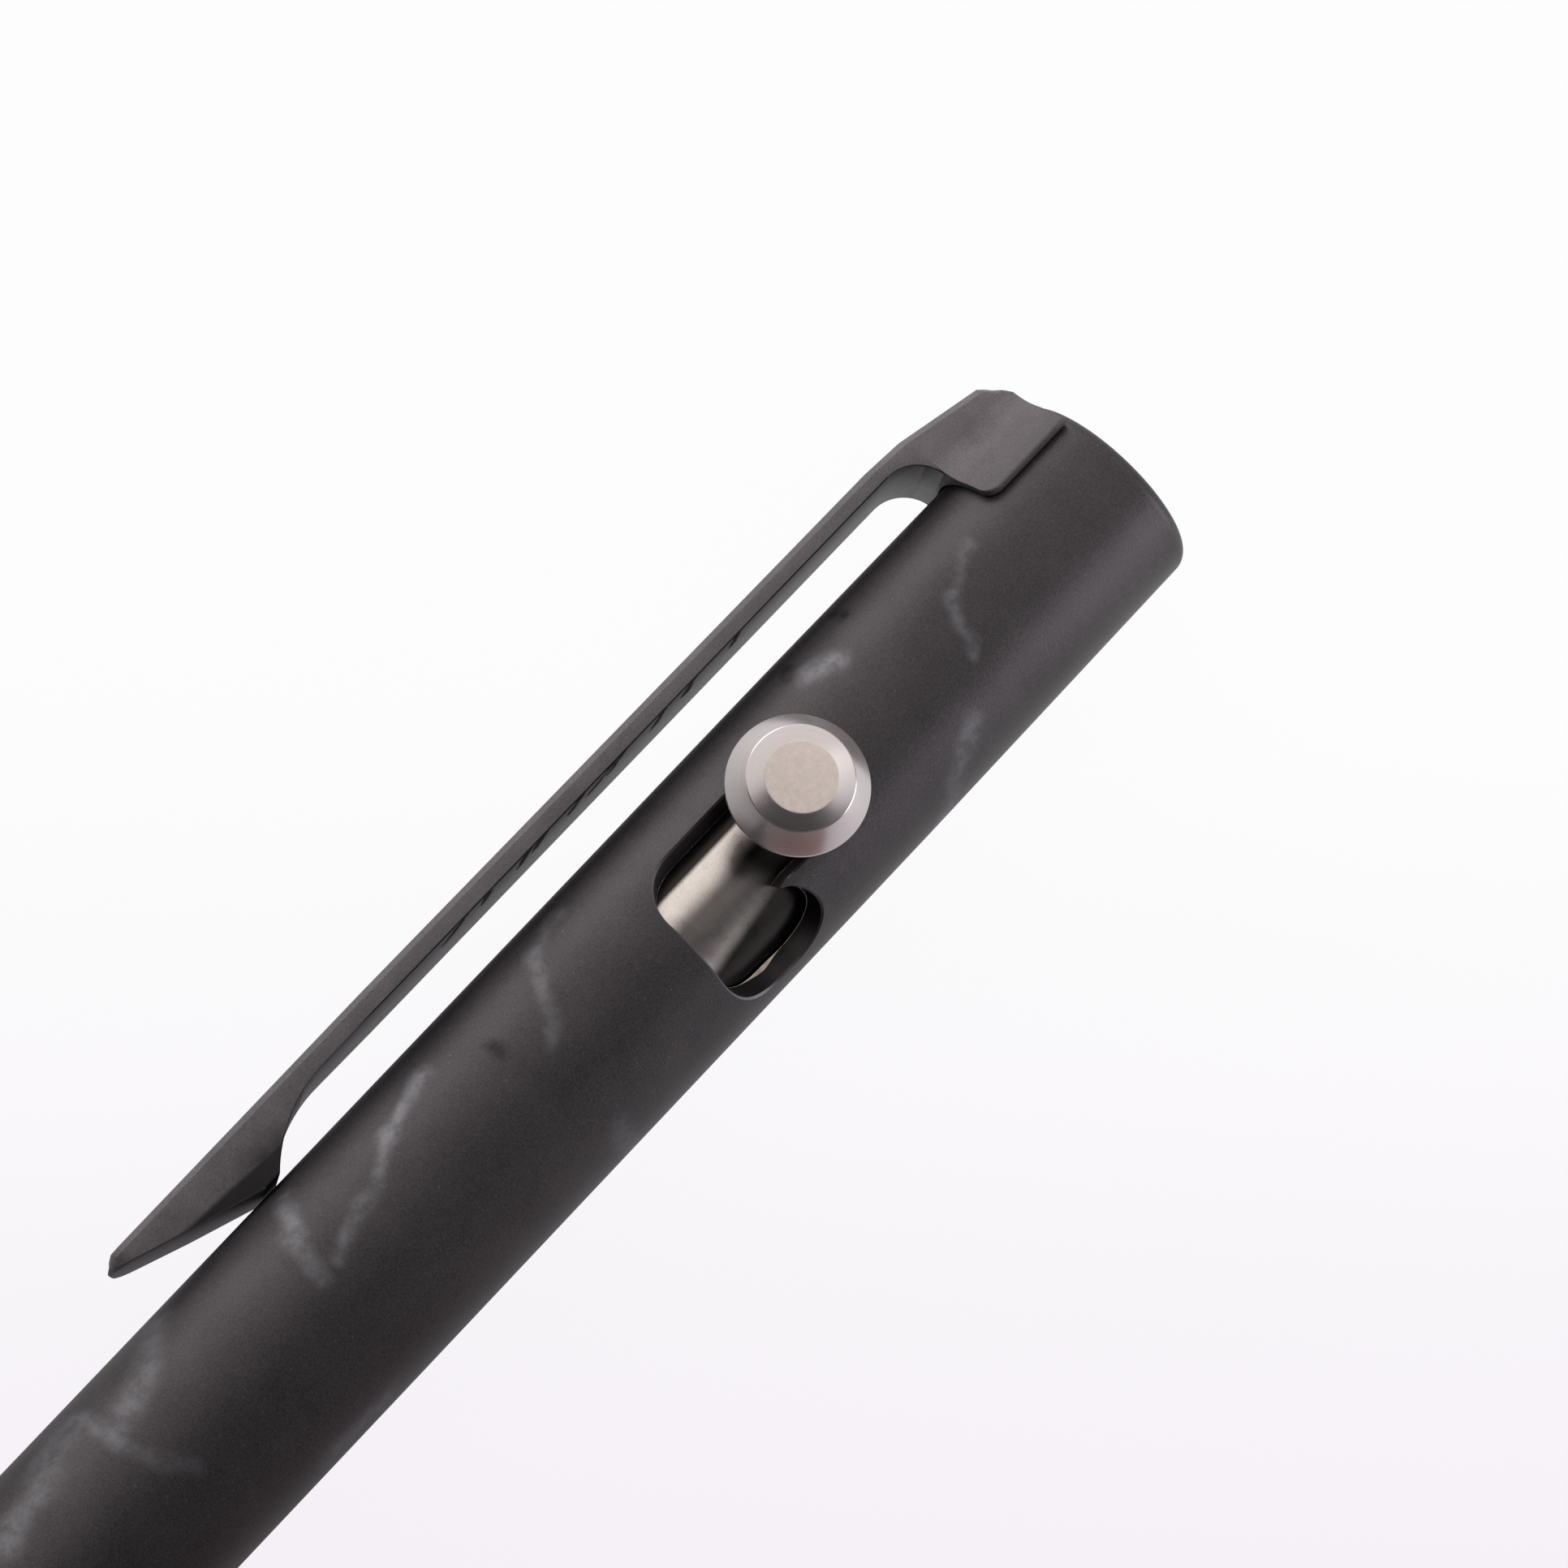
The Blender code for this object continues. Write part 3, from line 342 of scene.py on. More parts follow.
# %% Material helpers
def new_finish(name, colour, roughness, metallic):
    material = bpy.data.materials.new(name)
    material.use_nodes = True
    shader = material.node_tree.nodes["Principled BSDF"]
    for socket, value in (("Base Color", (*colour, 1.0)), ("Roughness", roughness), ("Metallic", metallic)):
        shader.inputs[socket].default_value = value
    return material, material.node_tree, shader


def add_bump(tree, shader, height, strength, depth_mm):
    sockets = {"Height": height, "Strength": strength, "Distance": depth_mm * MM}
    feed(tree, shader, Normal=place_node(tree, "ShaderNodeBump", sockets).outputs[0])


def grain_of(tree, space, speck, cloud, **others):
    return use_group(tree, fine_grain, Place=space["Place"], Speck_Size=speck, Cloud_Size=cloud, **others)


def rings_of(tree, space, along, width, **others):
    given = {"Along": along, "Place": space["Place"], "Ring_Width": width}
    return use_group(tree, turning_marks, **given, **others)["Value"]


# %% [markdown]
# ## Finish: the matt black coat
# The barrel, clip, nose and plug are blasted and coated in a warm charcoal. It isn't quite
# metallic to the eye: a dark body with a broad, dull sheen, and a few pale flecks. The same
# recipe is used with other numbers for the clip, which is rougher and lighter, for the clip's
# rubbed underside, and for the slot's milled wall and broken edge, whose front part carries a
# painted highlight.

# %% Matt black coat
FLECK = (0.150, 0.138, 0.142)
# The colour of the painted contact shade on the clip.
CONTACT_SHADE = (0.012, 0.011, 0.011)


def coat(name, dark, light, roughness, speck, cloud, cloud_share, depth, metallic=0.85):
    """speck, cloud and depth are in millimetres; returns also what later steps build on."""
    material, tree, shader = new_finish(name, light, roughness, metallic)
    space = use_group(tree, pen_space)
    grain = grain_of(tree, space, speck, cloud, Cloud_Share=cloud_share)
    colour = blend_colours(tree, range_of(tree, grain["Value"]), dark, light)
    colour = blend_colours(tree, product(tree, grain["Flecks"], 0.7), colour, FLECK)
    rough = range_of(tree, grain["Value"], roughness - 0.05, roughness + 0.05)
    feed(tree, shader, Base_Color=colour, Roughness=rough)
    add_bump(tree, shader, grain["Height"], 0.7, depth)
    return material, tree, shader, space, colour


PLAIN = {
    "dark": (0.042, 0.038, 0.041), "light": (0.092, 0.084, 0.089), "roughness": 0.50,
    "speck": 0.088, "cloud": 3.0, "cloud_share": 0.30, "depth": 0.009,
}
plain_coat = coat("matt_black_coat", **PLAIN)[0]
slot_wall_coat = coat(
    "milled_black_wall", dark=(0.030, 0.028, 0.028), light=(0.055, 0.051, 0.051), roughness=0.45,
    speck=0.06, cloud=0.8, cloud_share=0.5, depth=0.005,
)[0]
slot_edge_coat, tree, shader, space, colour = coat(
    "black_broken_edge", dark=(0.060, 0.057, 0.060), light=(0.085, 0.080, 0.084), roughness=0.45,
    speck=0.05, cloud=0.9, cloud_share=0.5, depth=0.004,
)
# Painted highlight: the broken edge turns paler towards the slot's front.
front_highlight = smooth_step(tree, space["From Tail"], 28.2, 30.2)
feed(tree, shader, Base_Color=blend_colours(tree, front_highlight, colour, (0.155, 0.152, 0.172)))
print("coats:", [material.name for material in (plain_coat, slot_wall_coat, slot_edge_coat)])

# %% [markdown]
# ## Finish: the clip's coat and its rubbed underside
# Painted shade darkens the wedge round its heel and in a band along its foot, where it comes
# close to the barrel, and painted shading makes the saddle darker low down and lighter towards
# its top. The blade's underside is rubbed smoother. Dark stains run in from its edge, and a thin
# line of painted shade runs along that edge. Both are seen almost along the surface, so they
# are also made rough and not metallic, or else the sheen would hide them.

# %% Clip coats
CLIP_METALLIC = 0.35
HEEL = (-50.4, 5.2, 2.6)
# Each stain's distance from the tail, at the blade's edge and at its inner end.
STAINS = (
    (18.0, 18.2), (21.0, 21.1), (23.2, 23.3), (25.5, 26.4), (26.4, 27.6),
    (28.6, 28.8), (31.2, 31.3), (32.1, 32.3), (34.6, 34.8), (36.4, 37.5),
)
clip_coat, tree, shader, space, colour = coat(
    "matt_black_clip_coat", dark=(0.100, 0.090, 0.097), light=(0.200, 0.182, 0.194), roughness=0.62,
    speck=0.10, cloud=1.6, cloud_share=0.40, depth=0.010, metallic=CLIP_METALLIC,
)
x, y, z = parts(tree, space["Place"])
# Painted contact shade round the wedge's heel and in a band along its foot, near the barrel.
from_heel = maths(tree, "ADD", distance(tree, space["Place"], HEEL), noise_at(tree, space["Place"], 1.2))
foot_band = smooth_step(tree, maths(tree, "MULTIPLY_ADD", x, 0.07, y), 2.95, 2.65)
wedge_foot = product(tree, foot_band, smooth_step(tree, x, -47.0, -49.0))
contact_shade = product(tree, greatest(tree, smooth_step(tree, from_heel, 3.4, 1.0), wedge_foot), 0.94)
# Painted shading: the saddle is darker low down and lighter towards its top.
saddle_shading = spread_over(tree, y, (3.4, 5.8), (-0.22, 0.20))
tone = maths(tree, "MULTIPLY_ADD", smooth_step(tree, x, -8.0, -6.0), saddle_shading, 1.0)
feed(tree, shader, Base_Color=blend_colours(tree, contact_shade, scaled(tree, colour, tone), CONTACT_SHADE))

underside_coat, tree, shader, space, colour = coat(
    "rubbed_black_underside", dark=(0.122, 0.114, 0.124), light=(0.220, 0.206, 0.224), roughness=0.55,
    speck=0.10, cloud=1.2, cloud_share=0.45, depth=0.006, metallic=CLIP_METALLIC,
)
across = parts(tree, space["Place"])["Z"]
strokes = [((start, 2.5), (end, 1.1), 0.29, 1.0) for start, end in STAINS]
stained = strokes_mask(tree, combined(tree, X=space["From Tail"], Y=across), strokes)
# Painted shade: a thin dark line along the underside's edges.
edge_shade = smooth_step(tree, maths(tree, "ABSOLUTE", across), 2.55, 2.63)
stains_and_edge_shade = product(tree, greatest(tree, smooth_step(tree, stained, 0.20, 0.45), edge_shade), 0.95)
feed(
    tree, shader, Base_Color=blend_colours(tree, stains_and_edge_shade, colour, (0.020, 0.018, 0.022)),
    Metallic=maths(tree, "MULTIPLY_ADD", stains_and_edge_shade, -CLIP_METALLIC, CLIP_METALLIC),
    Roughness=maths(tree, "MULTIPLY_ADD", stains_and_edge_shade, 0.45, 0.53),
)
print("clip's coats:", clip_coat.name, underside_coat.name)

# %% [markdown]
# ## Finish: the barrel's coat with its smears
# The photographed barrel is the same coat with pale smears and a few dark spots. Each smear is
# read off the photograph as pixels, turned into places on the barrel, and becomes one use of
# the smear group. They change the colour alone: the sheen runs on over them.

# %% Smears on the barrel
# Start and end as pixels of the photograph, half width in millimetres, and strength.
SMEARS = (
    ((1190, 672), (1178, 715), 0.30, 0.35),
    ((1176, 730), (1182, 768), 0.32, 0.65),
    ((1184, 772), (1206, 805), 0.24, 0.60),
    ((1198, 885), (1178, 960), 0.50, 0.50),
    ((1178, 960), (1160, 1010), 0.40, 0.45),
    ((1000, 828), (1026, 812), 0.56, 0.85),
    ((682, 1130), (656, 1180), 0.42, 0.50),
    ((656, 1180), (680, 1285), 0.34, 0.45),
    ((521, 1325), (478, 1400), 0.42, 0.85),
    ((478, 1400), (466, 1460), 0.34, 0.75),
    ((466, 1460), (412, 1545), 0.30, 0.62),
    ((350, 1478), (362, 1525), 0.46, 0.75),
    ((362, 1525), (400, 1575), 0.30, 0.60),
    ((760, 1395), (785, 1425), 0.50, 0.45),
    ((196, 1628), (176, 1690), 0.62, 0.50),
    ((176, 1690), (150, 1752), 0.66, 0.55),
    ((92, 1748), (150, 1782), 0.40, 0.62),
    ((150, 1782), (235, 1812), 0.36, 0.40),
    ((84, 1758), (48, 1830), 0.72, 0.50),
    ((48, 1830), (5, 1905), 0.62, 0.60),
    ((476, 1722), (410, 1790), 0.55, 0.45),
)
DARK_SPOTS = ((1036, 753), (964, 827), (610, 1290))

barrel_coat, tree, shader, space, colour = coat("matt_black_barrel_coat", **PLAIN)
strokes = [(on_barrel(*start), on_barrel(*end), *look) for start, end, *look in SMEARS]
colour = blend_colours(tree, strokes_mask(tree, space["Unrolled"], strokes), colour, (0.190, 0.190, 0.208))
strokes = [(on_barrel(*spot), on_barrel(spot[0] + 5, spot[1] + 6), 0.30, 0.9) for spot in DARK_SPOTS]
colour = blend_colours(tree, strokes_mask(tree, space["Unrolled"], strokes), colour, (0.020, 0.018, 0.018))
feed(tree, shader, Base_Color=colour)
print("smears on the barrel:", len(SMEARS), "and dark spots:", len(DARK_SPOTS))

# %% [markdown]
# ## Finish: satin titanium
# The knob and slider are bare titanium, turned and then lightly blasted, a warm grey. The
# slider is mostly fine grain over faint rings. Painted shade and painted dark reflections
# darken its sides next to the slot's walls, a strip along its middle and the place round the
# stem. On the knob the rings run round its own axis, its flat top is blasted to a pale, mottled
# cream, and its steep cone is a little less metallic.

# %% Titanium slider
KNOB_FROM_TAIL = 22.6
TITANIUM = (0.60, 0.545, 0.50)


def from_knob_axis(tree, space):
    from_knob = vector_maths(tree, "ADD", space["Place"], (KNOB_FROM_TAIL, 0.0, 0.0))
    return vector_maths(tree, "LENGTH", vector_maths(tree, "MULTIPLY", from_knob, (1.0, 1.0, 0.0)), output=1)


slider_titanium, tree, shader = new_finish("satin_titanium_slider", TITANIUM, 0.30, 1.0)
space = use_group(tree, pen_space)
rings = rings_of(tree, space, space["From Tail"], 0.05, Break_Up=0.25)
grain = grain_of(tree, space, 0.07, 0.6, Cloud_Share=0.5)
marked = maths(tree, "MULTIPLY_ADD", rings, 0.2, product(tree, grain["Value"], 0.8))
colour = blend_colours(tree, range_of(tree, marked), (0.58, 0.535, 0.50), (0.95, 0.885, 0.83))
round_mm = parts(tree, space["Unrolled"])["X"]
# Painted dark reflection: the strip along the middle, just past the bright strip, is darkened.
middle = product(tree, smooth_step(tree, round_mm, -0.35, 0.75), smooth_step(tree, round_mm, 4.4, 1.6), 0.78)
colour = blend_colours(tree, middle, colour, (0.10, 0.088, 0.088))
# Painted shade: the sides next to the slot's walls and the place round the stem are darkened.
clip_side = smooth_step(tree, round_mm, -1.25, -1.60)
far_line = maths(tree, "MULTIPLY_ADD", space["From Tail"], -0.25, maths(tree, "ADD", round_mm, 7.5))
far_side = smooth_step(tree, far_line, 2.9, 4.2)
round_stem = smooth_step(tree, from_knob_axis(tree, space), 4.6, 3.0)
round_stem = product(tree, round_stem, smooth_step(tree, round_mm, -0.6, 0.5))
painted_slot_shade = product(tree, greatest(tree, clip_side, far_side, round_stem), 0.98)
colour = blend_colours(tree, painted_slot_shade, colour, (0.020, 0.017, 0.017))
feed(tree, shader, Base_Color=colour, Roughness=range_of(tree, grain["Value"], 0.26, 0.36))
add_bump(tree, shader, grain["Height"], 0.40, 0.0025)
print("slider's finish:", slider_titanium.name)

# %% Titanium knob
knob_titanium, tree, shader = new_finish("satin_titanium_knob", TITANIUM, 0.30, 0.90)
space = use_group(tree, pen_space)
knob_radius = from_knob_axis(tree, space)
on_top = smooth_step(tree, knob_radius, 1.72, 1.66)
steep_cone = smooth_step(tree, knob_radius, 2.46, 2.52)
rings = rings_of(tree, space, knob_radius, 0.035, Break_Up=0.3)
grain = grain_of(tree, space, 0.045, 0.35, Cloud_Share=0.5)
turned_colour = blend_colours(tree, range_of(tree, rings), (0.570, 0.530, 0.528), (0.600, 0.558, 0.556))
blasted = range_of(tree, grain["Value"])
blasted_colour = blend_colours(tree, blasted, (0.64, 0.565, 0.52), (0.86, 0.765, 0.705))
feed(
    tree, shader, Base_Color=blend_colours(tree, on_top, turned_colour, blasted_colour),
    Metallic=blend_values(tree, steep_cone, 0.93, 0.78),
    Roughness=blend_values(tree, on_top, range_of(tree, rings, 0.245, 0.275), 0.5),
)
add_bump(tree, shader, grain["Height"], 0.3, 0.002)
print("knob's finish:", knob_titanium.name)

# %% [markdown]
# ## Finishes of the small and inner pieces
# Most inner pieces are turned or drawn metal, so one recipe covers them: a base colour, rings
# from the lathe, and a roughness that follows the rings. The slot's worn inner lip, rubbed
# bare by the slider, uses it too. The plastics, rubber, ink and grease use the grain group alone.

# %% Turned metals
def turned_metal(name, dark, light, roughness, ring_width, metallic=1.0):
    material, tree, shader = new_finish(name, light, roughness, metallic)
    space = use_group(tree, pen_space)
    rings = rings_of(tree, space, space["From Tail"], ring_width)
    rough = range_of(tree, rings, roughness - 0.06, roughness + 0.06)
    feed(tree, shader, Base_Color=blend_colours(tree, range_of(tree, rings), dark, light), Roughness=rough)
    add_bump(tree, shader, rings, 0.3, 0.002)
    return material


bare_edge = turned_metal("bare_worn_edge", (0.42, 0.33, 0.26), (0.74, 0.64, 0.54), 0.45, 0.3, 0.35)
black_steel = turned_metal("black_oxide_steel", (0.025, 0.025, 0.028), (0.055, 0.055, 0.06), 0.32, 0.06)
spring_steel = turned_metal("drawn_spring_steel", (0.42, 0.42, 0.42), (0.60, 0.60, 0.59), 0.24, 0.12)
point_brass = turned_metal("turned_brass", (0.62, 0.43, 0.18), (0.80, 0.60, 0.30), 0.24, 0.05)
refill_steel = turned_metal("drawn_refill_steel", (0.52, 0.52, 0.53), (0.68, 0.68, 0.69), 0.26, 0.08)
ball_carbide = turned_metal("ground_carbide", (0.25, 0.25, 0.27), (0.34, 0.34, 0.36), 0.10, 0.2)
print("all metals are made, the last one:", ball_carbide.name)


# %% Rubber, plastic, ink and grease
def moulded(name, dark, light, roughness, speck, depth):
    material, tree, shader = new_finish(name, light, roughness, 0.0)
    space = use_group(tree, pen_space)
    grain = grain_of(tree, space, speck, cloud=0.8)
    feed(tree, shader, Base_Color=blend_colours(tree, range_of(tree, grain["Value"]), dark, light))
    add_bump(tree, shader, grain["Height"], 0.4, depth)
    return material


seal_rubber = moulded("black_seal_rubber", (0.010, 0.010, 0.010), (0.022, 0.022, 0.022), 0.60, 0.06, 0.003)
crown_plastic = moulded("white_crown_plastic", (0.74, 0.74, 0.71), (0.84, 0.84, 0.82), 0.35, 0.15, 0.002)
refill_ink = moulded("glossy_black_ink", (0.004, 0.004, 0.008), (0.008, 0.008, 0.014), 0.08, 0.3, 0.0005)
follower_grease = moulded("amber_grease", (0.62, 0.50, 0.28), (0.74, 0.64, 0.42), 0.15, 0.3, 0.001)
print("all finishes:", len(bpy.data.materials))

# %% [markdown]
# ## Making a mesh piece
# Points are written in millimetres, in the pen's own frame, so each finished object stays at
# the origin. Smooth shading with a limit angle keeps true edges sharp and lets arcs run smooth.

# %% Mesh helpers
def in_metres(points_mm):
    return [tuple(value * MM for value in point) for point in points_mm]


def shade(mesh, limit):
    """Smooth shading that stays sharp at every edge that turns by more than limit degrees."""
    mesh.polygons.foreach_set("use_smooth", [True] * len(mesh.polygons))
    mesh.set_sharp_from_angle(angle=math.radians(limit))


def finished_mesh(name, points_mm, faces, materials, face_materials=None, smooth_angle=28.0):
    """A mesh object without double points, with all faces turned outwards."""
    mesh = bpy.data.meshes.new(name)
    mesh.from_pydata(in_metres(points_mm), [], faces)
    for material in materials:
        mesh.materials.append(material)
    if face_materials:
        mesh.polygons.foreach_set("material_index", face_materials)
    work = bmesh.new()
    work.from_mesh(mesh)
    bmesh.ops.remove_doubles(work, verts=work.verts, dist=1e-7)
    bmesh.ops.dissolve_degenerate(work, edges=work.edges, dist=1e-8)
    bmesh.ops.recalc_face_normals(work, faces=work.faces)
    if work.calc_volume(signed=True) < 0:
        bmesh.ops.reverse_faces(work, faces=work.faces)
    work.to_mesh(mesh)
    open_edges = sum(1 for edge in work.edges if not edge.is_manifold)
    work.free()
    shade(mesh, smooth_angle)
    print(name, "faces:", len(mesh.polygons), "open edges:", open_edges)
    return new_object(name, mesh)


def eased(profile, radius, steps=3):
    """Rounds each inner corner of a profile with a small curve; radius is how far it reaches."""
    result = [profile[0]]
    for before, here, after in zip(*(map(Vector, profile[skip:]) for skip in range(3))):
        reach = min(radius, (before - here).length / 2.5, (after - here).length / 2.5)
        first = here + (before - here).normalized() * reach
        last = here + (after - here).normalized() * reach
        for step in range(steps + 1):
            share = step / steps
            point = first * (1 - share) ** 2 + here * 2 * share * (1 - share) + last * share ** 2
            result.append(tuple(point))
    return result + [profile[-1]]


def eased_solid(profile, radius):
    """An eased profile that starts and ends on the axis, at the heights of its own ends."""
    return [(0.0, profile[0][1])] + eased(profile, radius)[1:] + [(0.0, profile[-1][1])]


def arc(centre, radius, start, end, steps):
    """Points on an arc in the plane of centre, from one angle in degrees to another."""
    angles = (math.radians(start + (end - start) * step / steps) for step in range(steps + 1))
    return [(centre[0] + radius * math.cos(angle), centre[1] + radius * math.sin(angle)) for angle in angles]


def band(here, there, count):
    """The faces between two closed rings of points, each given by its first point's number."""
    follow = [(step + 1) % count for step in range(count)]
    return [(here + step, here + after, there + after, there + step) for step, after in enumerate(follow)]


def turned_faces(profile, segments, place, closed=False):
    """Turns (radius, height) points about an axis; place puts one (radius, angle, height) on the pen."""
    rings, points, faces = len(profile), [], []
    for radius, height in profile:
        points += [place(radius, 2 * math.pi * step / segments, height) for step in range(segments)]
    for ring in range(rings if closed else rings - 1):
        faces += band(ring * segments, (ring + 1) % rings * segments, segments)
    return points, faces


def along_the_pen(radius, angle, from_tail):
    return (-from_tail, -radius * math.sin(angle), radius * math.cos(angle))


def about_the_knob(radius, angle, height):
    return (-KNOB_FROM_TAIL + radius * math.cos(angle), radius * math.sin(angle), height)


def turned_piece(name, profile, material, segments=128, place=along_the_pen, closed=False, smooth_angle=28.0):
    points, faces = turned_faces(profile, segments, place, closed)
    return finished_mesh(name, points, faces, [material], smooth_angle=smooth_angle)


# %% [markdown]
# ## The barrel: skin, slot and bore
# On the real pen the barrel is a turned tube, and a small cutter then mills the slot through
# its wall: a channel, a turn and a notch. A Boolean would give that shape with poor shading. So
# the skin is drawn unrolled, as a flat sheet with a hole of the slot's outline, triangulated,
# and wrapped round the axis. Rings of the same outline then make the broken edge, the wall and
# the bright inner edge, with no Boolean at all.

# %% The slot's outline
SLOT_HALF = 2.4
SLOT_TAIL, SLOT_FRONT = 20.75, 30.85
NOTCH_CENTRE = (math.radians(49.0) * BARREL_RADIUS, 27.3)
NOTCH_FLOOR = 3.1


def narrowed(across, along):
    """Past its centre line, the notch is a little tighter at its top than at its floor."""
    share = 0.85 + 0.15 * max(0.0, min(1.0, (along - 28.0) / 2.5))
    past = max(0.0, across - NOTCH_CENTRE[0])
    return min(across, NOTCH_CENTRE[0]) + past * share, along


def slot_outline(arc_steps=20, longest=0.25):
    """The slot unrolled: (distance round from the knob's line, distance from the tail)."""
    turn_back = SLOT_FRONT - 2 * SLOT_HALF
    floor_centre = (NOTCH_CENTRE[0] + SLOT_HALF - NOTCH_FLOOR, SLOT_FRONT - NOTCH_FLOOR)
    meeting = math.degrees(math.asin((NOTCH_CENTRE[1] - turn_back) / SLOT_HALF))
    corners = arc((0.0, SLOT_TAIL + SLOT_HALF), SLOT_HALF, 0, -180, 2 * arc_steps)
    corners += arc((0.0, SLOT_FRONT - SLOT_HALF), SLOT_HALF, 180, 90, arc_steps)
    corners += arc(floor_centre, NOTCH_FLOOR, 90, 0, arc_steps)
    corners += arc(NOTCH_CENTRE, SLOT_HALF, 0, meeting - 168, 2 * arc_steps)
    spike = [corners[-1], (SLOT_HALF + 0.07, turn_back + 0.04), (SLOT_HALF, turn_back - 0.6)]
    corners = [narrowed(*corner) for corner in corners + eased(spike, 1.0, steps=8)[1:]]
    outline = []
    for start, end in zip(corners, corners[1:] + corners[:1]):
        length = math.dist(start, end)
        if length < 1e-4:
            continue
        pieces = max(1, round(length / longest))
        outline += [
            tuple(a + (b - a) * step / pieces for a, b in zip(start, end)) for step in range(pieces)
        ]
    return outline


def widened(outline, amounts):
    """Moves each point of a closed outline outwards by its amount, square to its neighbours."""
    area = sum(a[0] * b[1] - b[0] * a[1] for a, b in zip(outline, outline[1:] + outline[:1]))
    side = 1.0 if area > 0 else -1.0
    result = []
    for index, (across, along) in enumerate(outline):
        before, after = Vector(outline[index - 1]), Vector(outline[(index + 1) % len(outline)])
        run = (after - before).normalized()
        result.append((across + side * run.y * amounts[index], along - side * run.x * amounts[index]))
    return result


def inside(point, outline):
    crossings = 0
    for (x0, y0), (x1, y1) in zip(outline, outline[1:] + outline[:1]):
        if (y0 > point[1]) != (y1 > point[1]) and point[0] < x0 + (x1 - x0) * (point[1] - y0) / (y1 - y0):
            crossings += 1
    return crossings % 2 == 1


outline = slot_outline()
print("slot outline points:", len(outline))

# %% Unrolled skin with the slot's hole
COLUMNS = 144
PATCH_TAIL, PATCH_FRONT = 19.5, 33.0


def skin_patch(hole):
    """Triangles of the unrolled skin round the hole, with edges along the pen at every column."""
    half_round = math.pi * BARREL_RADIUS
    columns = [-half_round + 2 * half_round * step / COLUMNS for step in range(COLUMNS + 1)]
    points = [Vector((across, along)) for along in (PATCH_TAIL, PATCH_FRONT) for across in columns]
    first = len(points)
    points += [Vector(point) for point in hole]
    count = len(hole)
    edges = [(first + index, first + (index + 1) % count) for index in range(count)]
    for step, across in enumerate(columns):
        crossed = []
        for index in range(count):
            start, end = hole[index], hole[(index + 1) % count]
            if (start[0] - across) * (end[0] - across) <= 0 and start[0] != end[0]:
                near = index if abs(start[0] - across) < abs(end[0] - across) else (index + 1) % count
                crossed.append((hole[near][1], first + near))
        chain = [step] + [vertex for _, vertex in sorted(crossed)] + [COLUMNS + 1 + step]
        edges += [(a, b) for a, b in zip(chain[::2], chain[1::2]) if a != b]
    result = geometry.delaunay_2d_cdt(points, edges, [], 0, 1e-5)
    flat, triangles = result[0], result[2]
    kept = []
    for triangle in triangles:
        middle = [sum(flat[vertex][axis] for vertex in triangle) / 3 for axis in (0, 1)]
        if not inside(middle, hole):
            kept.append(tuple(triangle))
    return [(point.x, point.y) for point in flat], kept


def wrapped(points, radius):
    return [along_the_pen(radius, across / BARREL_RADIUS, along) for across, along in points]


# %% The barrel's mesh
BORE_RADIUS = 4.2
BROKEN_EDGE = 0.09
SPIKE_TIP = (2.47, 26.0)
SLIVER_AT, SLIVER_REACH, FAR_WALL = 28.5, 0.75, 5.6
LIP_BREAK, NOTCH_BREAK, SLIVER_BREAK = 0.004, 0.022, 0.17
SKIN, WALL, EDGE, LIP = range(4)
barrel_points, barrel_faces, barrel_kinds = [], [], []


def add_to_barrel(points, faces, kind):
    offset = len(barrel_points)
    barrel_points.extend(points)
    barrel_faces.extend(tuple(offset + vertex for vertex in face) for face in faces)
    barrel_kinds.extend([kind] * len(faces))


def inner_lip_break(across, along):
    """How far the inner lip is broken: barely, more in the notch, most at its bright sliver."""
    bright = math.exp(-((along - SLIVER_AT) / SLIVER_REACH) ** 2) if across > FAR_WALL else 0.0
    in_notch = across > 3.2 and along < 27.0
    return LIP_BREAK + NOTCH_BREAK * in_notch + SLIVER_BREAK * bright


rim = widened(outline, [
    BROKEN_EDGE * max(0.15, min(1.0, (math.dist(point, SPIKE_TIP) - 0.25) / 0.8)) for point in outline
])
inner_break = [inner_lip_break(*point) for point in outline]
lip = widened(outline, [-reach for reach in inner_break])
for hole, radius, kind in ((rim, BARREL_RADIUS, SKIN), (lip, BORE_RADIUS, WALL)):
    flat, triangles = skin_patch(hole)
    add_to_barrel(wrapped(flat, radius), triangles, kind)

count = len(outline)
ladder = [
    (wrapped(rim, BARREL_RADIUS), EDGE),
    (wrapped(outline, BARREL_RADIUS - BROKEN_EDGE), WALL),
    (wrapped(outline, BORE_RADIUS + 0.5), WALL),
    ([along_the_pen(BORE_RADIUS + reach, across / BARREL_RADIUS, along)
      for (across, along), reach in zip(outline, inner_break)], LIP),
    (wrapped(lip, BORE_RADIUS), LIP),
]
for (upper, kind), (lower, _) in zip(ladder, ladder[1:]):
    add_to_barrel(upper + lower, band(0, count, count), kind)

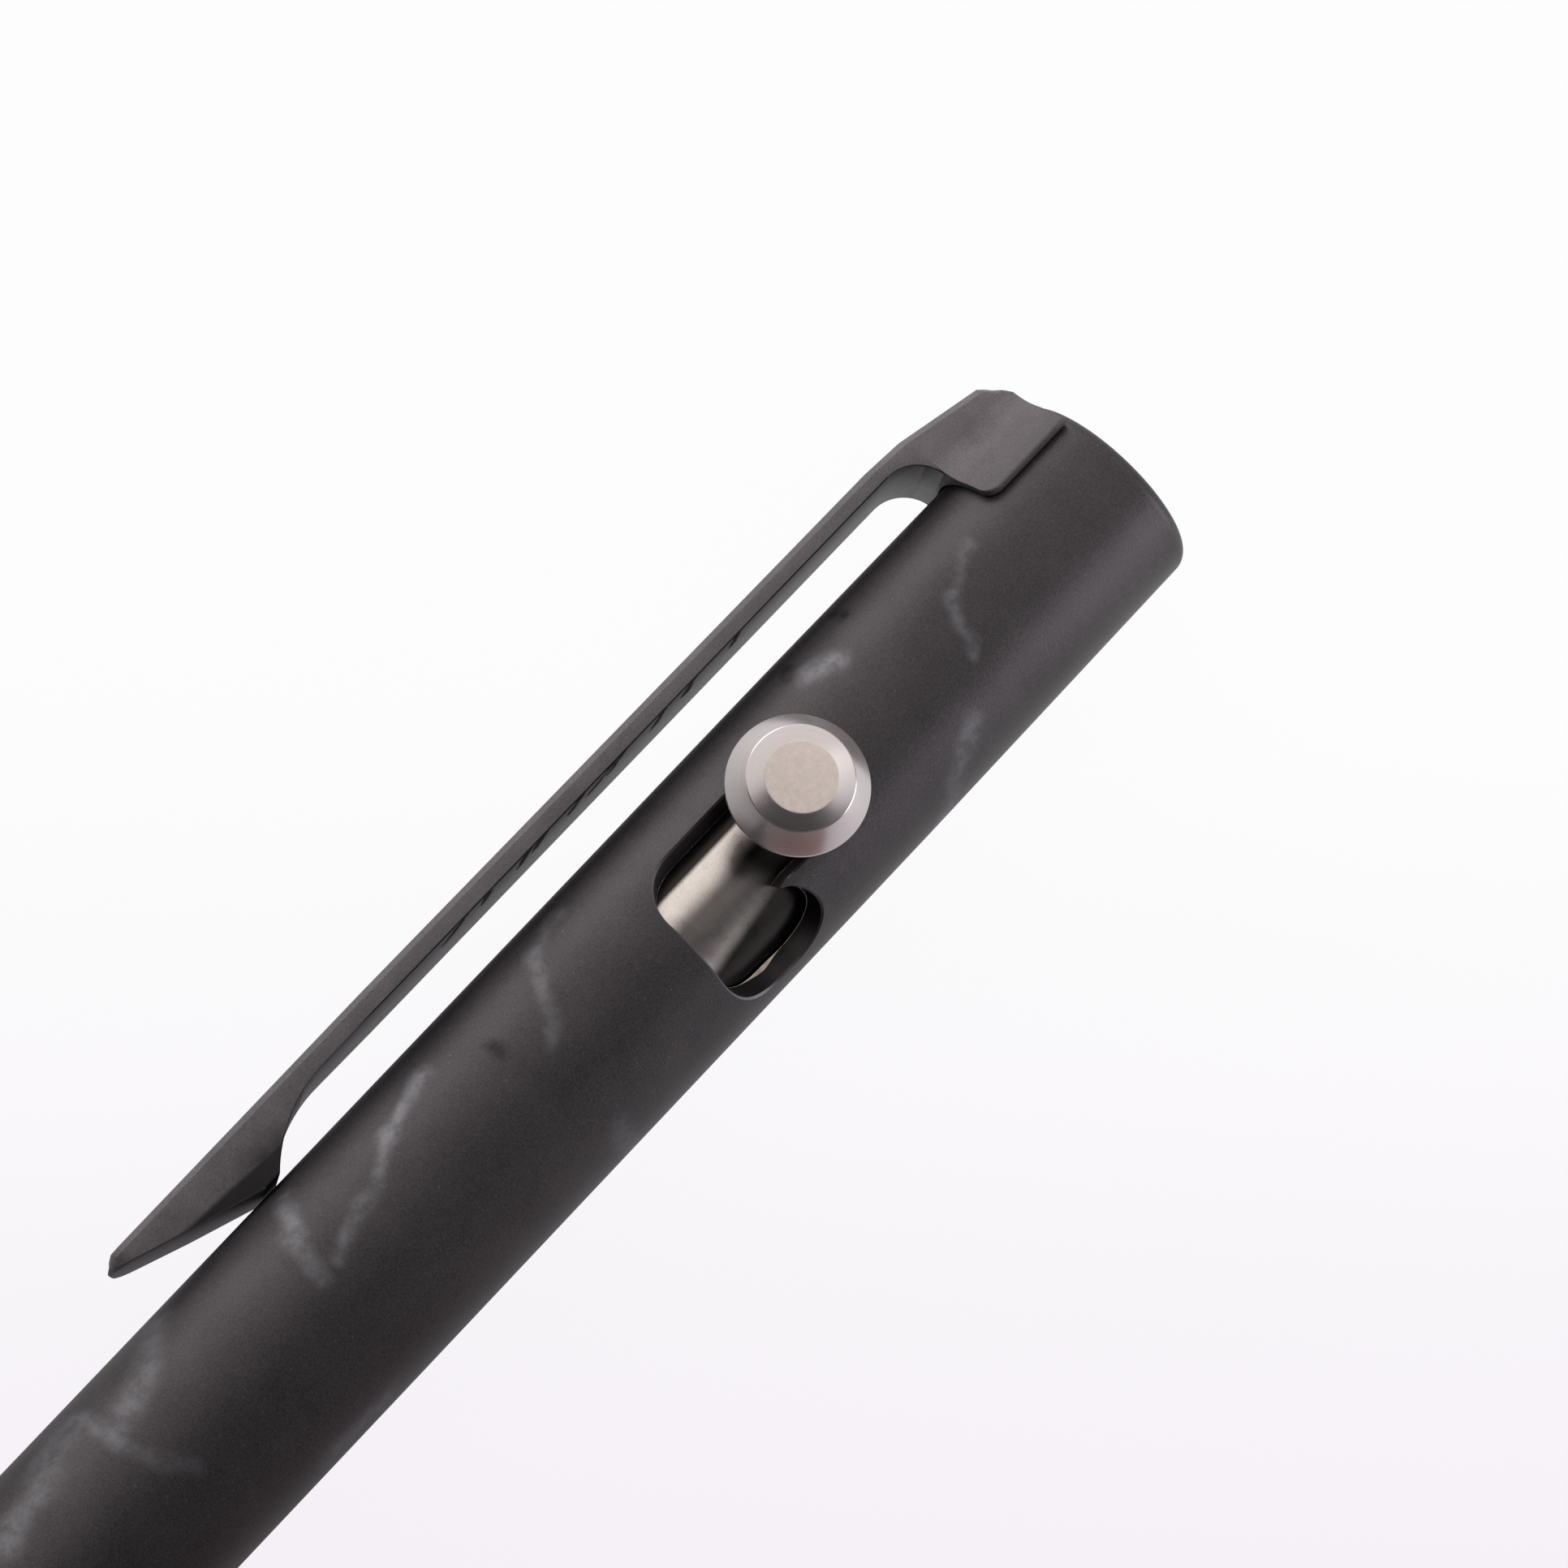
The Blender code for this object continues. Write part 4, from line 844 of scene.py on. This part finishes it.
TAIL_RADIUS = 5.15
TAIL_EASE = 18.0
RIM_ROUND = 0.7
BARREL_FRONT, THREAD_END, REFILL_BORE_START = 97.0, 87.0, 47.4
THREAD_BORE, REFILL_BORE = 4.2, 3.4
rim_start = TAIL_RADIUS + (BARREL_RADIUS - TAIL_RADIUS) * RIM_ROUND / TAIL_EASE
rim_centre = (rim_start - RIM_ROUND, -RIM_ROUND)
rim_arc = [(radius, -height) for radius, height in arc(rim_centre, RIM_ROUND, 90, 0, 10)]
tail_skin = [(BORE_RADIUS, 0.0)] + rim_arc + [(BARREL_RADIUS, TAIL_EASE), (BARREL_RADIUS, PATCH_TAIL)]
front_skin = [(BARREL_RADIUS, PATCH_FRONT)] + eased([
    (BARREL_RADIUS, 34.0), (BARREL_RADIUS, BARREL_FRONT - 0.15), (BARREL_RADIUS - 0.15, BARREL_FRONT),
    (THREAD_BORE, BARREL_FRONT),
], 0.06)
front_bore = [
    (THREAD_BORE, BARREL_FRONT), (THREAD_BORE, THREAD_END), (REFILL_BORE, THREAD_END),
    (REFILL_BORE, REFILL_BORE_START), (BORE_RADIUS, REFILL_BORE_START), (BORE_RADIUS, PATCH_FRONT),
]
tail_bore = [(BORE_RADIUS, PATCH_TAIL), (BORE_RADIUS, 0.0)]
for profile, kind in ((tail_skin, SKIN), (front_skin, SKIN), (front_bore, WALL), (tail_bore, WALL)):
    add_to_barrel(*turned_faces(profile, COLUMNS, along_the_pen), kind)

barrel = finished_mesh(
    "barrel_shell", barrel_points, barrel_faces,
    [barrel_coat, slot_wall_coat, slot_edge_coat, bare_edge], barrel_kinds,
)
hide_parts("barrel")
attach(barrel, "barrel")

# %% [markdown]
# ## The clip
# The clip is milled from one bar: a saddle foot screwed on at the tail, a flat sprung blade, and
# a wedge whose heel grips the cloth. It is lofted here from cross-sections along the pen. Each
# section knows its outer height, its underside and its half width, so the chamfers follow the
# blade as it tapers and as its tip is rounded off, seen from above. The saddle and the blade
# share the points of their common section.

# %% Heights and widths along the clip
OUTER_LINE = (
    (0.6, 5.7), (0.8, 6.03), (1.1, 6.46), (1.35, 6.78), (1.6, 7.02),
    (6.0, 7.9), (8.2, 8.04), (58.33, 8.42), (58.48, 8.27), (58.88, 8.02),
)
BLADE_HALF, TAPER_START, CLIP_END = 2.7, 42.0, 58.88
TAPER, TIP_PLAN_ROUND = 1.35 / 16.88, 1.2
ARCH_CENTRE, ARCH_RADIUS, ARCH_TOP = (7.68, 5.15), 1.98, 7.13
PAD_HEIGHT, PAD_END = 5.35, 51.5
HEEL_RADIUS, HEEL_RISE, HEEL_TOP, HEEL_END = 7.1, 1.91, 7.26, 50.6
HEEL_CENTRE = (
    HEEL_END - HEEL_RADIUS * math.sin(math.acos(1 - HEEL_RISE / HEEL_RADIUS)), HEEL_TOP - HEEL_RADIUS
)
TIP_CENTRE, TIP_ROUND = (58.58, 8.02), 0.3


def half_chord(radius, offset):
    """Half the length of a circle's chord at this distance from its centre."""
    return math.sqrt(max(0.0, radius ** 2 - offset ** 2))


def on_line(line, place):
    for (start, low), (end, high) in zip(line, line[1:]):
        if place <= end:
            return low + (high - low) * (place - start) / (end - start)
    return line[-1][1]


ramp_angle = math.atan2(7.72 - PAD_HEIGHT, TIP_CENTRE[0] - PAD_END)
RAMP_END = (
    TIP_CENTRE[0] + TIP_ROUND * math.sin(ramp_angle), TIP_CENTRE[1] - TIP_ROUND * math.cos(ramp_angle)
)
RAMP_LINE = ((PAD_END, PAD_HEIGHT), (55.04, 6.475), RAMP_END)


def underside(place):
    """The blade's lower height: arch, straight, heel, pad, ramp and rounded tip, in that order."""
    if place <= ARCH_CENTRE[0]:
        return max(5.3, ARCH_CENTRE[1] + half_chord(ARCH_RADIUS, ARCH_CENTRE[0] - place))
    if place <= HEEL_CENTRE[0]:
        return on_line(((ARCH_CENTRE[0], ARCH_TOP), (HEEL_CENTRE[0], HEEL_TOP)), place)
    if place <= HEEL_END:
        return HEEL_CENTRE[1] + half_chord(HEEL_RADIUS, place - HEEL_CENTRE[0])
    if place <= PAD_END:
        return PAD_HEIGHT
    if place <= RAMP_END[0]:
        return on_line(RAMP_LINE, place)
    return TIP_CENTRE[1] - half_chord(TIP_ROUND, place - TIP_CENTRE[0])


def clip_half_width(place):
    """Straight, then tapered, then rounded off at the tip as seen from above."""
    half = min(BLADE_HALF, BLADE_HALF - TAPER * (place - TAPER_START))
    past = max(0.0, place - (CLIP_END - TIP_PLAN_ROUND))
    return half - TIP_PLAN_ROUND + half_chord(TIP_PLAN_ROUND, past)


print("blade thickness at 20 mm:", round(on_line(OUTER_LINE, 20) - underside(20), 2))

# %% Cross-sections of the clip
OUTER_BREAK, LOWER_BREAK = 0.30, 0.06
FOOT_END = 5.7
FLANGE_RADIUS, FLANGE_EDGE = 5.65, 32.3
FLANGE_BREAK, FLANGE_BREAK_TURN = 0.05, 0.7
CORNER_START, CORNER_LENGTH, CORNER_ROUND = 4.9, 0.8, 0.7
FILLET = 2.2
FILLET_SIDE = BLADE_HALF + FILLET
FILLET_TOP = math.sqrt((FLANGE_RADIUS + FILLET) ** 2 - FILLET_SIDE ** 2)


def top_chain(place):
    """The outer side of a section, from its left flank over the top to its right flank."""
    height, half = on_line(OUTER_LINE, place), clip_half_width(place)
    thickness = height - (underside(place) if place > FOOT_END else 5.0)
    cut = min(OUTER_BREAK, 0.4 * thickness)
    if place < FOOT_END:
        cut = max(0.0, min(cut, height - FILLET_TOP))
    right = [(half - cut, height), (half - cut * 0.45, height - cut * 0.40), (half, height - cut)]
    return [(-across, up) for across, up in reversed(right)] + right


def blade_bottom(place):
    """The underside of a section, from its right flank back to its left flank."""
    half, low = clip_half_width(place), underside(place)
    cut = max(0.005, min(LOWER_BREAK, 0.3 * (on_line(OUTER_LINE, place) - low)))
    right = [(half, low + cut), (half - cut, low)]
    return right + [(-across, up) for across, up in reversed(right)]


def corner_wrap(place):
    """Rounds the flange's front corner: how many degrees the edge pulls back near the end."""
    past = max(0.0, (place - CORNER_START) / CORNER_LENGTH)
    return math.degrees(CORNER_ROUND * (1 - half_chord(1.0, past)) / FLANGE_RADIUS)


def foot_bottom(place):
    """The saddle of a section: fillet, flange, its edge, and the seat on the barrel."""
    turn = math.degrees(math.atan2(FILLET_TOP, FILLET_SIDE))
    edge = FLANGE_EDGE + corner_wrap(place)
    lower_edge = edge - FLANGE_BREAK_TURN
    seat = TAIL_RADIUS + 0.1 * place / TAIL_EASE + 0.1
    right = arc((FILLET_SIDE, FILLET_TOP), FILLET, 180, 180 + turn, 14)
    right += arc((0, 0), FLANGE_RADIUS, turn, edge, 10)[1:]
    right += arc((0, 0), FLANGE_RADIUS - FLANGE_BREAK, lower_edge, edge, 1)[:1]
    right += arc((0, 0), seat, lower_edge, 90, 16)
    whole = right[:-1] + [(-across, high) for across, high in reversed(right)]
    return [(across, min(high, on_line(OUTER_LINE, place))) for across, high in whole]


# %% The clip's mesh
def stretches(start, *ends):
    """Places from start on, each end reached in so many even steps."""
    result = [start]
    for end, count in ends:
        result += [start + (end - start) * step / count for step in range(1, count + 1)]
        start = end
    return result


foot_places = stretches(0.6, (1.6, 12), (CORNER_START, 8), (5.55, 8), (FOOT_END, 6))
arch_places = [ARCH_CENTRE[0] - ARCH_RADIUS * math.cos(math.radians(angle)) for angle in range(4, 91, 5)]
blade_places = sorted({
    FOOT_END, *arch_places, 8.0, 8.2, 8.4, 58.33, 58.48, RAMP_END[0],
    *stretches(9.0, (TAPER_START, 14), (HEEL_CENTRE[0], 3)), *stretches(HEEL_CENTRE[0], (HEEL_END, 18)),
    50.9, 51.2, *stretches(PAD_END, (57.8, 14), (58.87, 20)),
})
clip_points, clip_faces = [], []


def add_rings(stations, bottom):
    rings = []
    for place in stations:
        ring = top_chain(place) + bottom(place)
        rings.append(range(len(clip_points), len(clip_points) + len(ring)))
        clip_points.extend((-place, up, across) for across, up in ring)
    for first, second in zip(rings, rings[1:]):
        clip_faces.extend(band(first[0], second[0], len(first)))
    return rings


foot_rings = add_rings(foot_places, foot_bottom)
blade_rings = add_rings(blade_places, blade_bottom)
clip_faces.append(tuple(foot_rings[0]))
clip_faces.append(tuple(blade_rings[-1]))
clip_faces.append(tuple(foot_rings[-1][5:]) + (foot_rings[-1][0],) + tuple(reversed(blade_rings[0][6:])))
clip = finished_mesh("pocket_clip", clip_points, clip_faces, [clip_coat], smooth_angle=24.0)

# %% [markdown]
# ## The screw's counterbore in the clip
# The screw that holds the clip sits flush in a round pocket. It is the one cut that the loft
# can't give, so it is a Boolean, and a very small Bevel then breaks every sharp edge of the
# clip, because a coated metal part never has a perfectly sharp one.

# %% Counterbore and broken edges
SCREW_FROM_TAIL = 3.8
UNDERSIDE_START, UNDERSIDE_END, TIP_UNDERSIDE_START = 7.7, 47.0, 51.4
FACES_DOWN = -0.6


def about_the_screw(radius, angle, height):
    return (-SCREW_FROM_TAIL + radius * math.cos(angle), height, -radius * math.sin(angle))


bore_profile = [(0.0, 9.0), (1.7, 9.0), (1.7, 6.4), (1.0, 6.4), (1.0, 4.6), (0.0, 4.6)]
cutter = turned_piece("counterbore_cutter", bore_profile, slot_wall_coat, 64, about_the_screw)


def settle(piece):
    """Makes a piece's modifiers part of its mesh."""
    bpy.context.view_layer.update()
    result = bpy.data.meshes.new_from_object(piece.evaluated_get(bpy.context.evaluated_depsgraph_get()))
    piece.modifiers.clear()
    piece.data = result


boolean = clip.modifiers.new("counterbore", "BOOLEAN")
boolean.operation = "DIFFERENCE"
boolean.solver = "EXACT"
boolean.object = cutter
softened = clip.modifiers.new("broken edges", "BEVEL")
softened.width = 0.03 * MM
softened.segments = 2
softened.limit_method = "ANGLE"
softened.angle_limit = math.radians(30.0)
softened.harden_normals = False
settle(clip)
bpy.data.objects.remove(cutter)
shade(clip.data, 38.0)
clip.data.materials.append(underside_coat)
for face in clip.data.polygons:
    x, y, _ = face.center / MM
    in_arch = math.dist((-x, y), ARCH_CENTRE) < ARCH_RADIUS + 0.02 and abs(face.normal.z) < 0.3
    under_blade = y > 7.0 and UNDERSIDE_START < -x < UNDERSIDE_END
    if in_arch or face.normal.y < FACES_DOWN and (under_blade or -x > TIP_UNDERSIDE_START):
        face.material_index = len(clip.data.materials) - 1
print("clip faces:", len(clip.data.polygons), "finishes:", [m.name for m in clip.data.materials])
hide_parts("clip")
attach(clip, "barrel")

# %% [markdown]
# ## The clip's screw
# A low cylinder head with a hexagon socket. The head is turned, and the socket is a second
# small loft inside it: a hexagon ring joined to the head's round top by a flat annulus.

# %% Clip screw
SCREW_SIDES = 48
screw_profile = eased([(1.6, 7.25), (1.6, 6.5), (0.95, 6.5), (0.95, 2.15), (0.80, 2.0)], 0.05)
screw_profile = arc((1.45, 7.25), 0.15, 90, 0, 4) + screw_profile[1:] + [(0.0, 2.0)]
points, faces = turned_faces(screw_profile, SCREW_SIDES, about_the_screw)


def hexagon_radius(angle, flat_distance=0.693):
    return flat_distance / math.cos((angle + math.pi / 6) % (math.pi / 3) - math.pi / 6)


first = len(points)
for height in (7.40, 6.92):
    for step in range(SCREW_SIDES):
        angle = 2 * math.pi * step / SCREW_SIDES
        points.append(about_the_screw(hexagon_radius(angle), angle, height))
faces += band(0, first, SCREW_SIDES) + band(first, first + SCREW_SIDES, SCREW_SIDES)
faces.append(tuple(range(first + SCREW_SIDES, first + 2 * SCREW_SIDES)))
screw = finished_mesh("clip_screw_turned", points, faces, [black_steel])
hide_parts("clip_screw")
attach(screw, "barrel")

# %% [markdown]
# ## The bolt: knob and slider
# The knob is turned in one piece with its stem: a flat top, a shallow cone, a steep cone, a
# thin rim and an undercut. Its profile is turned about the knob's own axis. The slider is a
# plain turned cylinder with a cup for the refill, and only a strip of it shows in the slot.

# %% Knob
knob_profile = eased_solid([
    (0.3, 8.74), (1.685, 8.74), (2.5, 8.52), (3.325, 7.25), (3.325, 7.08), (1.7, 6.5), (1.7, 3.7),
], 0.06)
knob = turned_piece("bolt_knob_turned", knob_profile, knob_titanium, 160, about_the_knob, smooth_angle=24.0)
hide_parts("bolt_knob", "bolt_stud")
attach(knob, "bolt")

# %% Slider
slider_profile = eased_solid([
    (1.0, 14.0), (3.7, 14.0), (4.1, 14.4), (4.1, 39.6), (3.7, 40.0), (3.05, 40.0), (3.05, 33.8),
], 0.08)
slider = turned_piece("slider_turned", slider_profile, slider_titanium, 160)
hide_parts("slider")
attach(slider, "bolt")

# %% [markdown]
# ## Tail plug and nose section
# The tail plug closes the barrel behind the slider. The nose section isn't in the photograph:
# it is a plain tapered nose that screws off, turned with a neck and a seal's groove. Its thread
# is wound later.

# %% Tail plug
plug_profile = eased_solid([
    (1.0, 0.0), (4.0, 0.0), (4.15, 0.15), (4.15, 6.38), (3.5, 6.38), (3.5, 7.22), (4.15, 7.22), (4.15, 7.85),
    (4.0, 8.0), (1.0, 8.0),
], 0.05)
plug = turned_piece("tail_plug_turned", plug_profile, plain_coat, 128)
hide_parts("tail_plug")
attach(plug, "barrel")

# %% Nose section
NOSE_START, NOSE_END = 97.1, 135.1
TAPER_FROM, TAPER_LENGTH, TAPER_DEPTH, TAPER_CURVE = 113.1, 22.0, 3.55, 2.2
neck = eased([
    (3.1, 87.1), (3.70, 87.1), (3.85, 87.25), (3.85, 94.6), (4.1, 94.6), (4.1, 95.48), (3.5, 95.48),
    (3.5, 96.32), (4.1, 96.32), (4.1, NOSE_START), (5.1, NOSE_START), (BARREL_RADIUS, NOSE_START + 0.15),
], 0.05, steps=2)
taper = [
    (BARREL_RADIUS - TAPER_DEPTH * share ** TAPER_CURVE, TAPER_FROM + TAPER_LENGTH * share)
    for share in (step / 40 for step in range(40))
]
mouth_and_bore = eased([
    (1.74, 134.8), (1.70, 134.85), (1.55, NOSE_END), (1.30, NOSE_END), (1.30, 130.6), (2.5, 130.6),
    (2.5, 126.0), (3.1, 126.0),
], 0.04, steps=2)
nose_profile = neck + taper + mouth_and_bore
nose = turned_piece("nose_section_turned", nose_profile, plain_coat, 128, closed=True, smooth_angle=30.0)

# %% [markdown]
# ## A tree of nodes that winds a wire
# The spring and the nose's thread are both a small round section that follows a helix, so one
# Geometry Nodes tree winds them. A spiral gives the path, Curve to Mesh sweeps a circle along
# it, and the result is turned from the spiral's own upright axis to the pen's. Its inputs are
# the real sizes, so the same tree makes 7 coils of spring or 8 turns of thread.

# %% Winding tree
def winding_tree():
    tree = bpy.data.node_groups.new("wound_wire", "GeometryNodeTree")
    tree.interface.new_socket("Geometry", in_out="OUTPUT", socket_type="NodeSocketGeometry")
    for name in ("Radius", "Turns", "Length", "Start", "Wire Radius"):
        tree.interface.new_socket(name, in_out="INPUT", socket_type="NodeSocketFloat")
    for name, kind in (("Steps Per Turn", "Int"), ("Sides", "Int"), ("Finish", "Material")):
        tree.interface.new_socket(name, in_out="INPUT", socket_type="NodeSocket" + kind)
    given = tree.nodes.new("NodeGroupInput").outputs
    spiral = place_node(tree, "GeometryNodeCurveSpiral", {
        "Resolution": given["Steps Per Turn"], "Rotations": given["Turns"], "Start Radius": given["Radius"],
        "End Radius": given["Radius"], "Height": given["Length"],
    })
    circle = {"Resolution": given["Sides"], "Radius": given["Wire Radius"]}
    section = place_node(tree, "GeometryNodeCurvePrimitiveCircle", circle)
    swept = place_node(tree, "GeometryNodeCurveToMesh", {
        "Curve": spiral.outputs[0], "Profile Curve": section.outputs[0], "Fill Caps": True,
    })
    laid = place_node(tree, "GeometryNodeTransform", {
        "Geometry": swept.outputs[0], "Translation": combined(tree, X=given["Start"]),
        "Rotation": (0.0, math.pi / 2, 0.0),
    })
    real = place_node(tree, "GeometryNodeRealizeInstances", {"Geometry": laid.outputs[0]}).outputs[0]
    dressed = place_node(tree, "GeometryNodeSetMaterial", {"Geometry": real, "Material": given["Finish"]})
    tree.links.new(dressed.outputs[0], tree.nodes.new("NodeGroupOutput").inputs[0])
    return tree


wound_wire = winding_tree()


def wind(name, sizes, material):
    """Runs the winding tree with these sizes and keeps its result as a plain mesh."""
    piece = new_object(name, bpy.data.meshes.new(name))
    modifier = piece.modifiers.new("wound wire", "NODES")
    modifier.node_group = wound_wire
    for socket in wound_wire.interface.items_tree:
        if socket.in_out == "INPUT":
            modifier[socket.identifier] = material if socket.name == "Finish" else sizes[socket.name]
    settle(piece)
    shade(piece.data, 50.0)
    print(name, "faces:", len(piece.data.polygons))
    return piece


# %% Return spring
spring = wind("return_spring_wound", {
    "Radius": 2.1 * MM, "Turns": 7.0, "Length": 9.8 * MM, "Start": -130.25 * MM,
    "Wire Radius": 0.2 * MM, "Steps Per Turn": 48, "Sides": 12,
}, spring_steel)
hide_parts("return_spring")
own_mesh(spring)
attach(spring, "nose_ring")

# %% Thread on the nose section's neck
thread = wind("nose_thread_wound", {
    "Radius": 3.85 * MM, "Turns": 8.0, "Length": 6.0 * MM, "Start": -94.0 * MM,
    "Wire Radius": 0.22 * MM, "Steps Per Turn": 72, "Sides": 6,
}, plain_coat)
bpy.context.view_layer.update()
with bpy.context.temp_override(active_object=nose, selected_editable_objects=[nose, thread]):
    bpy.ops.object.join()
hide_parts("nose_section")
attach(nose, "nose")
print("nose section with thread, faces:", len(nose.data.polygons))

# %% [markdown]
# ## Finishes on the CAD's own pieces
# The refill, its spacer and the seals keep their CAD shapes, which are already right: they are
# plain turned pieces deep inside the pen. They only get their real finishes.

# %% Dress the inner CAD pieces
INNER_FINISHES = {
    "tail_o_ring": seal_rubber, "nose_o_ring": seal_rubber, "refill_spacer": seal_rubber,
    "refill_crown": crown_plastic, "refill_tube": refill_steel, "refill_ink": refill_ink,
    "ink_follower": follower_grease, "refill_point": point_brass, "refill_ball": ball_carbide,
}
for name, material in INNER_FINISHES.items():
    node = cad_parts[name]
    for place in range(len(node.material_slots)):
        node.material_slots[place].material = material
print("inner pieces dressed:", len(INNER_FINISHES))

# %% [markdown]
# ## Floor
# The pen lies on a white sheet that the photograph shows as pure white, with a faint tint
# towards the lower part of the picture. The floor is a pale surface that still takes the pen's
# shadow. For camera rays most of it is plain light, so the background is white without more
# light on the pen. For glossy and transmitted rays it is mostly plain light near the tail and
# mostly paper from about 75 mm on: a painted glow round the tail that the metal reflects. Two
# shading cards are hidden from the camera: a dark one round the lens and a brown one beside the
# pen, for the metal to reflect.

# %% White floor
FLOOR_REACH, FLOOR_LEVEL = 1200.0, -5.26
DOWN_THE_PICTURE = (-724.0, -689.0, 0.0)


def flat_sheet(name, corners, level):
    mesh = bpy.data.meshes.new(name)
    mesh.from_pydata(in_metres([(*corner, level) for corner in corners]), [], [tuple(range(len(corners)))])
    return new_object(name, mesh)


paper, tree, shader = new_finish("white_paper", (0.80, 0.80, 0.80), 0.9, 0.0)
place = object_place(tree)
fibres = noise_at(tree, place, 40.0)
feed(tree, shader, Base_Color=blend_colours(tree, fibres, (0.79, 0.79, 0.80), (0.82, 0.82, 0.82)))
rays = place_node(tree, "ShaderNodeLightPath").outputs
# Painted glow: for glossy rays the floor is plain light near the tail and mostly paper further off.
glow_near_tail = spread_over(tree, parts(tree, place)["X"], (-0.075, 0.005), (0.12, 1.0))
bounced = maths(tree, "ADD", rays["Is Glossy Ray"], rays["Is Transmission Ray"], clamp=True)
seen = maths(tree, "ADD", rays["Is Camera Ray"], product(tree, bounced, glow_near_tail), clamp=True)
down_picture = smooth_step(tree, dot(tree, place, DOWN_THE_PICTURE), 5.0, 60.0)
tint = blend_colours(tree, down_picture, (1.0, 1.0, 1.0), (0.93, 0.885, 0.945))
white = place_node(tree, "ShaderNodeEmission", {"Color": tint, "Strength": 1.0}).outputs[0]
shaders = {0: product(tree, seen, 0.96), 1: shader.outputs[0], 2: white}
mixed = place_node(tree, "ShaderNodeMixShader", shaders).outputs[0]
feed(tree, tree.nodes["Material Output"], Surface=mixed)
corners = [(x * FLOOR_REACH, y * FLOOR_REACH) for x, y in ((-1, -1), (1, -1), (1, 1), (-1, 1))]
floor = flat_sheet("floor", corners, FLOOR_LEVEL)
floor.data.materials.append(paper)
print("floor at, mm:", FLOOR_LEVEL)


# %% Shading cards
def shading_card(name, corners, level, colour):
    card = flat_sheet(name, corners, level)
    card.visible_camera = False
    material, tree, shader = new_finish(name, colour, 0.9, 0.0)
    grain = noise_at(tree, object_place(tree), 30.0)
    feed(tree, shader, Base_Color=blend_colours(tree, grain, colour, [value * 1.1 for value in colour]))
    card.data.materials.append(material)
    print("card:", name)


ROUND_THE_LENS = arc((-140, -90), 245, 0, 352.5, 47)
BESIDE_THE_PEN = ((-170, -130), (-36, -130), (-36, -34), (-75, -14), (-170, -14))
shading_card("card_round_the_lens", ROUND_THE_LENS, 460, (0.05, 0.05, 0.05))
shading_card("brown_card", BESIDE_THE_PEN, -5.0, (0.30, 0.075, 0.06))

# %% [markdown]
# ## Light
# The photograph was taken in a white tent: bright all round, brightest on the clip's side, and
# darker where the camera and its holder stand, which the bare titanium reflects as a dark
# patch. The world gives that tent as a soft function of direction. For camera rays it is plain
# white. Three soft lamps add shape: a large one on the clip's side, and two small faint ones by
# the tail and on the far side.

# %% World like a light tent
world = bpy.data.worlds.new("light_tent")
bpy.context.scene.world = world
world.use_nodes = True
tree = world.node_tree
tree.nodes.clear()
direction = place_node(tree, "ShaderNodeTexCoord").outputs["Generated"]


def patch(centre, inner, outer):
    """1 within inner degrees of a direction, falling softly to 0 at outer degrees."""
    towards = tuple(Vector(centre).normalized())
    far, near = (math.cos(math.radians(angle)) for angle in (outer, inner))
    return smooth_step(tree, dot(tree, direction, towards), far, near)


TENT_PATCHES = (
    ((0.35, 0.75, 0.55), 45, 80, (1.06, 1.02, 1.00)),
    ((0.20, -0.95, 0.25), 20, 35, (0.08, 0.08, 0.08)),
    ((-0.95, 0.00, 0.30), 35, 60, (0.08, 0.08, 0.08)),
)
tent = (0.16, 0.16, 0.172)
for centre, inner, outer, colour in TENT_PATCHES:
    tent = blend_colours(tree, patch(centre, inner, outer), tent, colour)
light_path = place_node(tree, "ShaderNodeLightPath").outputs["Is Camera Ray"]
tent = blend_colours(tree, light_path, tent, (1.0, 1.0, 1.0))
background = place_node(tree, "ShaderNodeBackground", {"Color": tent, "Strength": 1.0})
tree.links.new(background.outputs[0], place_node(tree, "ShaderNodeOutputWorld").inputs[0])


# %% Lamps
def soft_lamp(name, place_mm, size_mm, power, colour, aim_mm=(-21, 1, 0)):
    lamp_data = bpy.data.lights.new(name, "AREA")
    lamp_data.size = size_mm * MM
    lamp_data.energy = power
    lamp_data.color = colour
    lamp = new_object(name, lamp_data)
    lamp.location = Vector(place_mm) * MM
    lamp.rotation_euler = (Vector(aim_mm) * MM - lamp.location).to_track_quat("-Z", "Y").to_euler()
    print("lamp:", name)


soft_lamp("clip_side_softbox", (150, 480, 110), 340, 0.75, (1.0, 0.97, 0.94))
soft_lamp("tail_softbox", (89, -50, 139), 120, 0.030, (1.0, 0.98, 0.97), (0, 0, 0))
soft_lamp("far_side_softbox", (75, -125, 35), 90, 0.11, (1.0, 0.98, 1.0), (0, 0, 0))
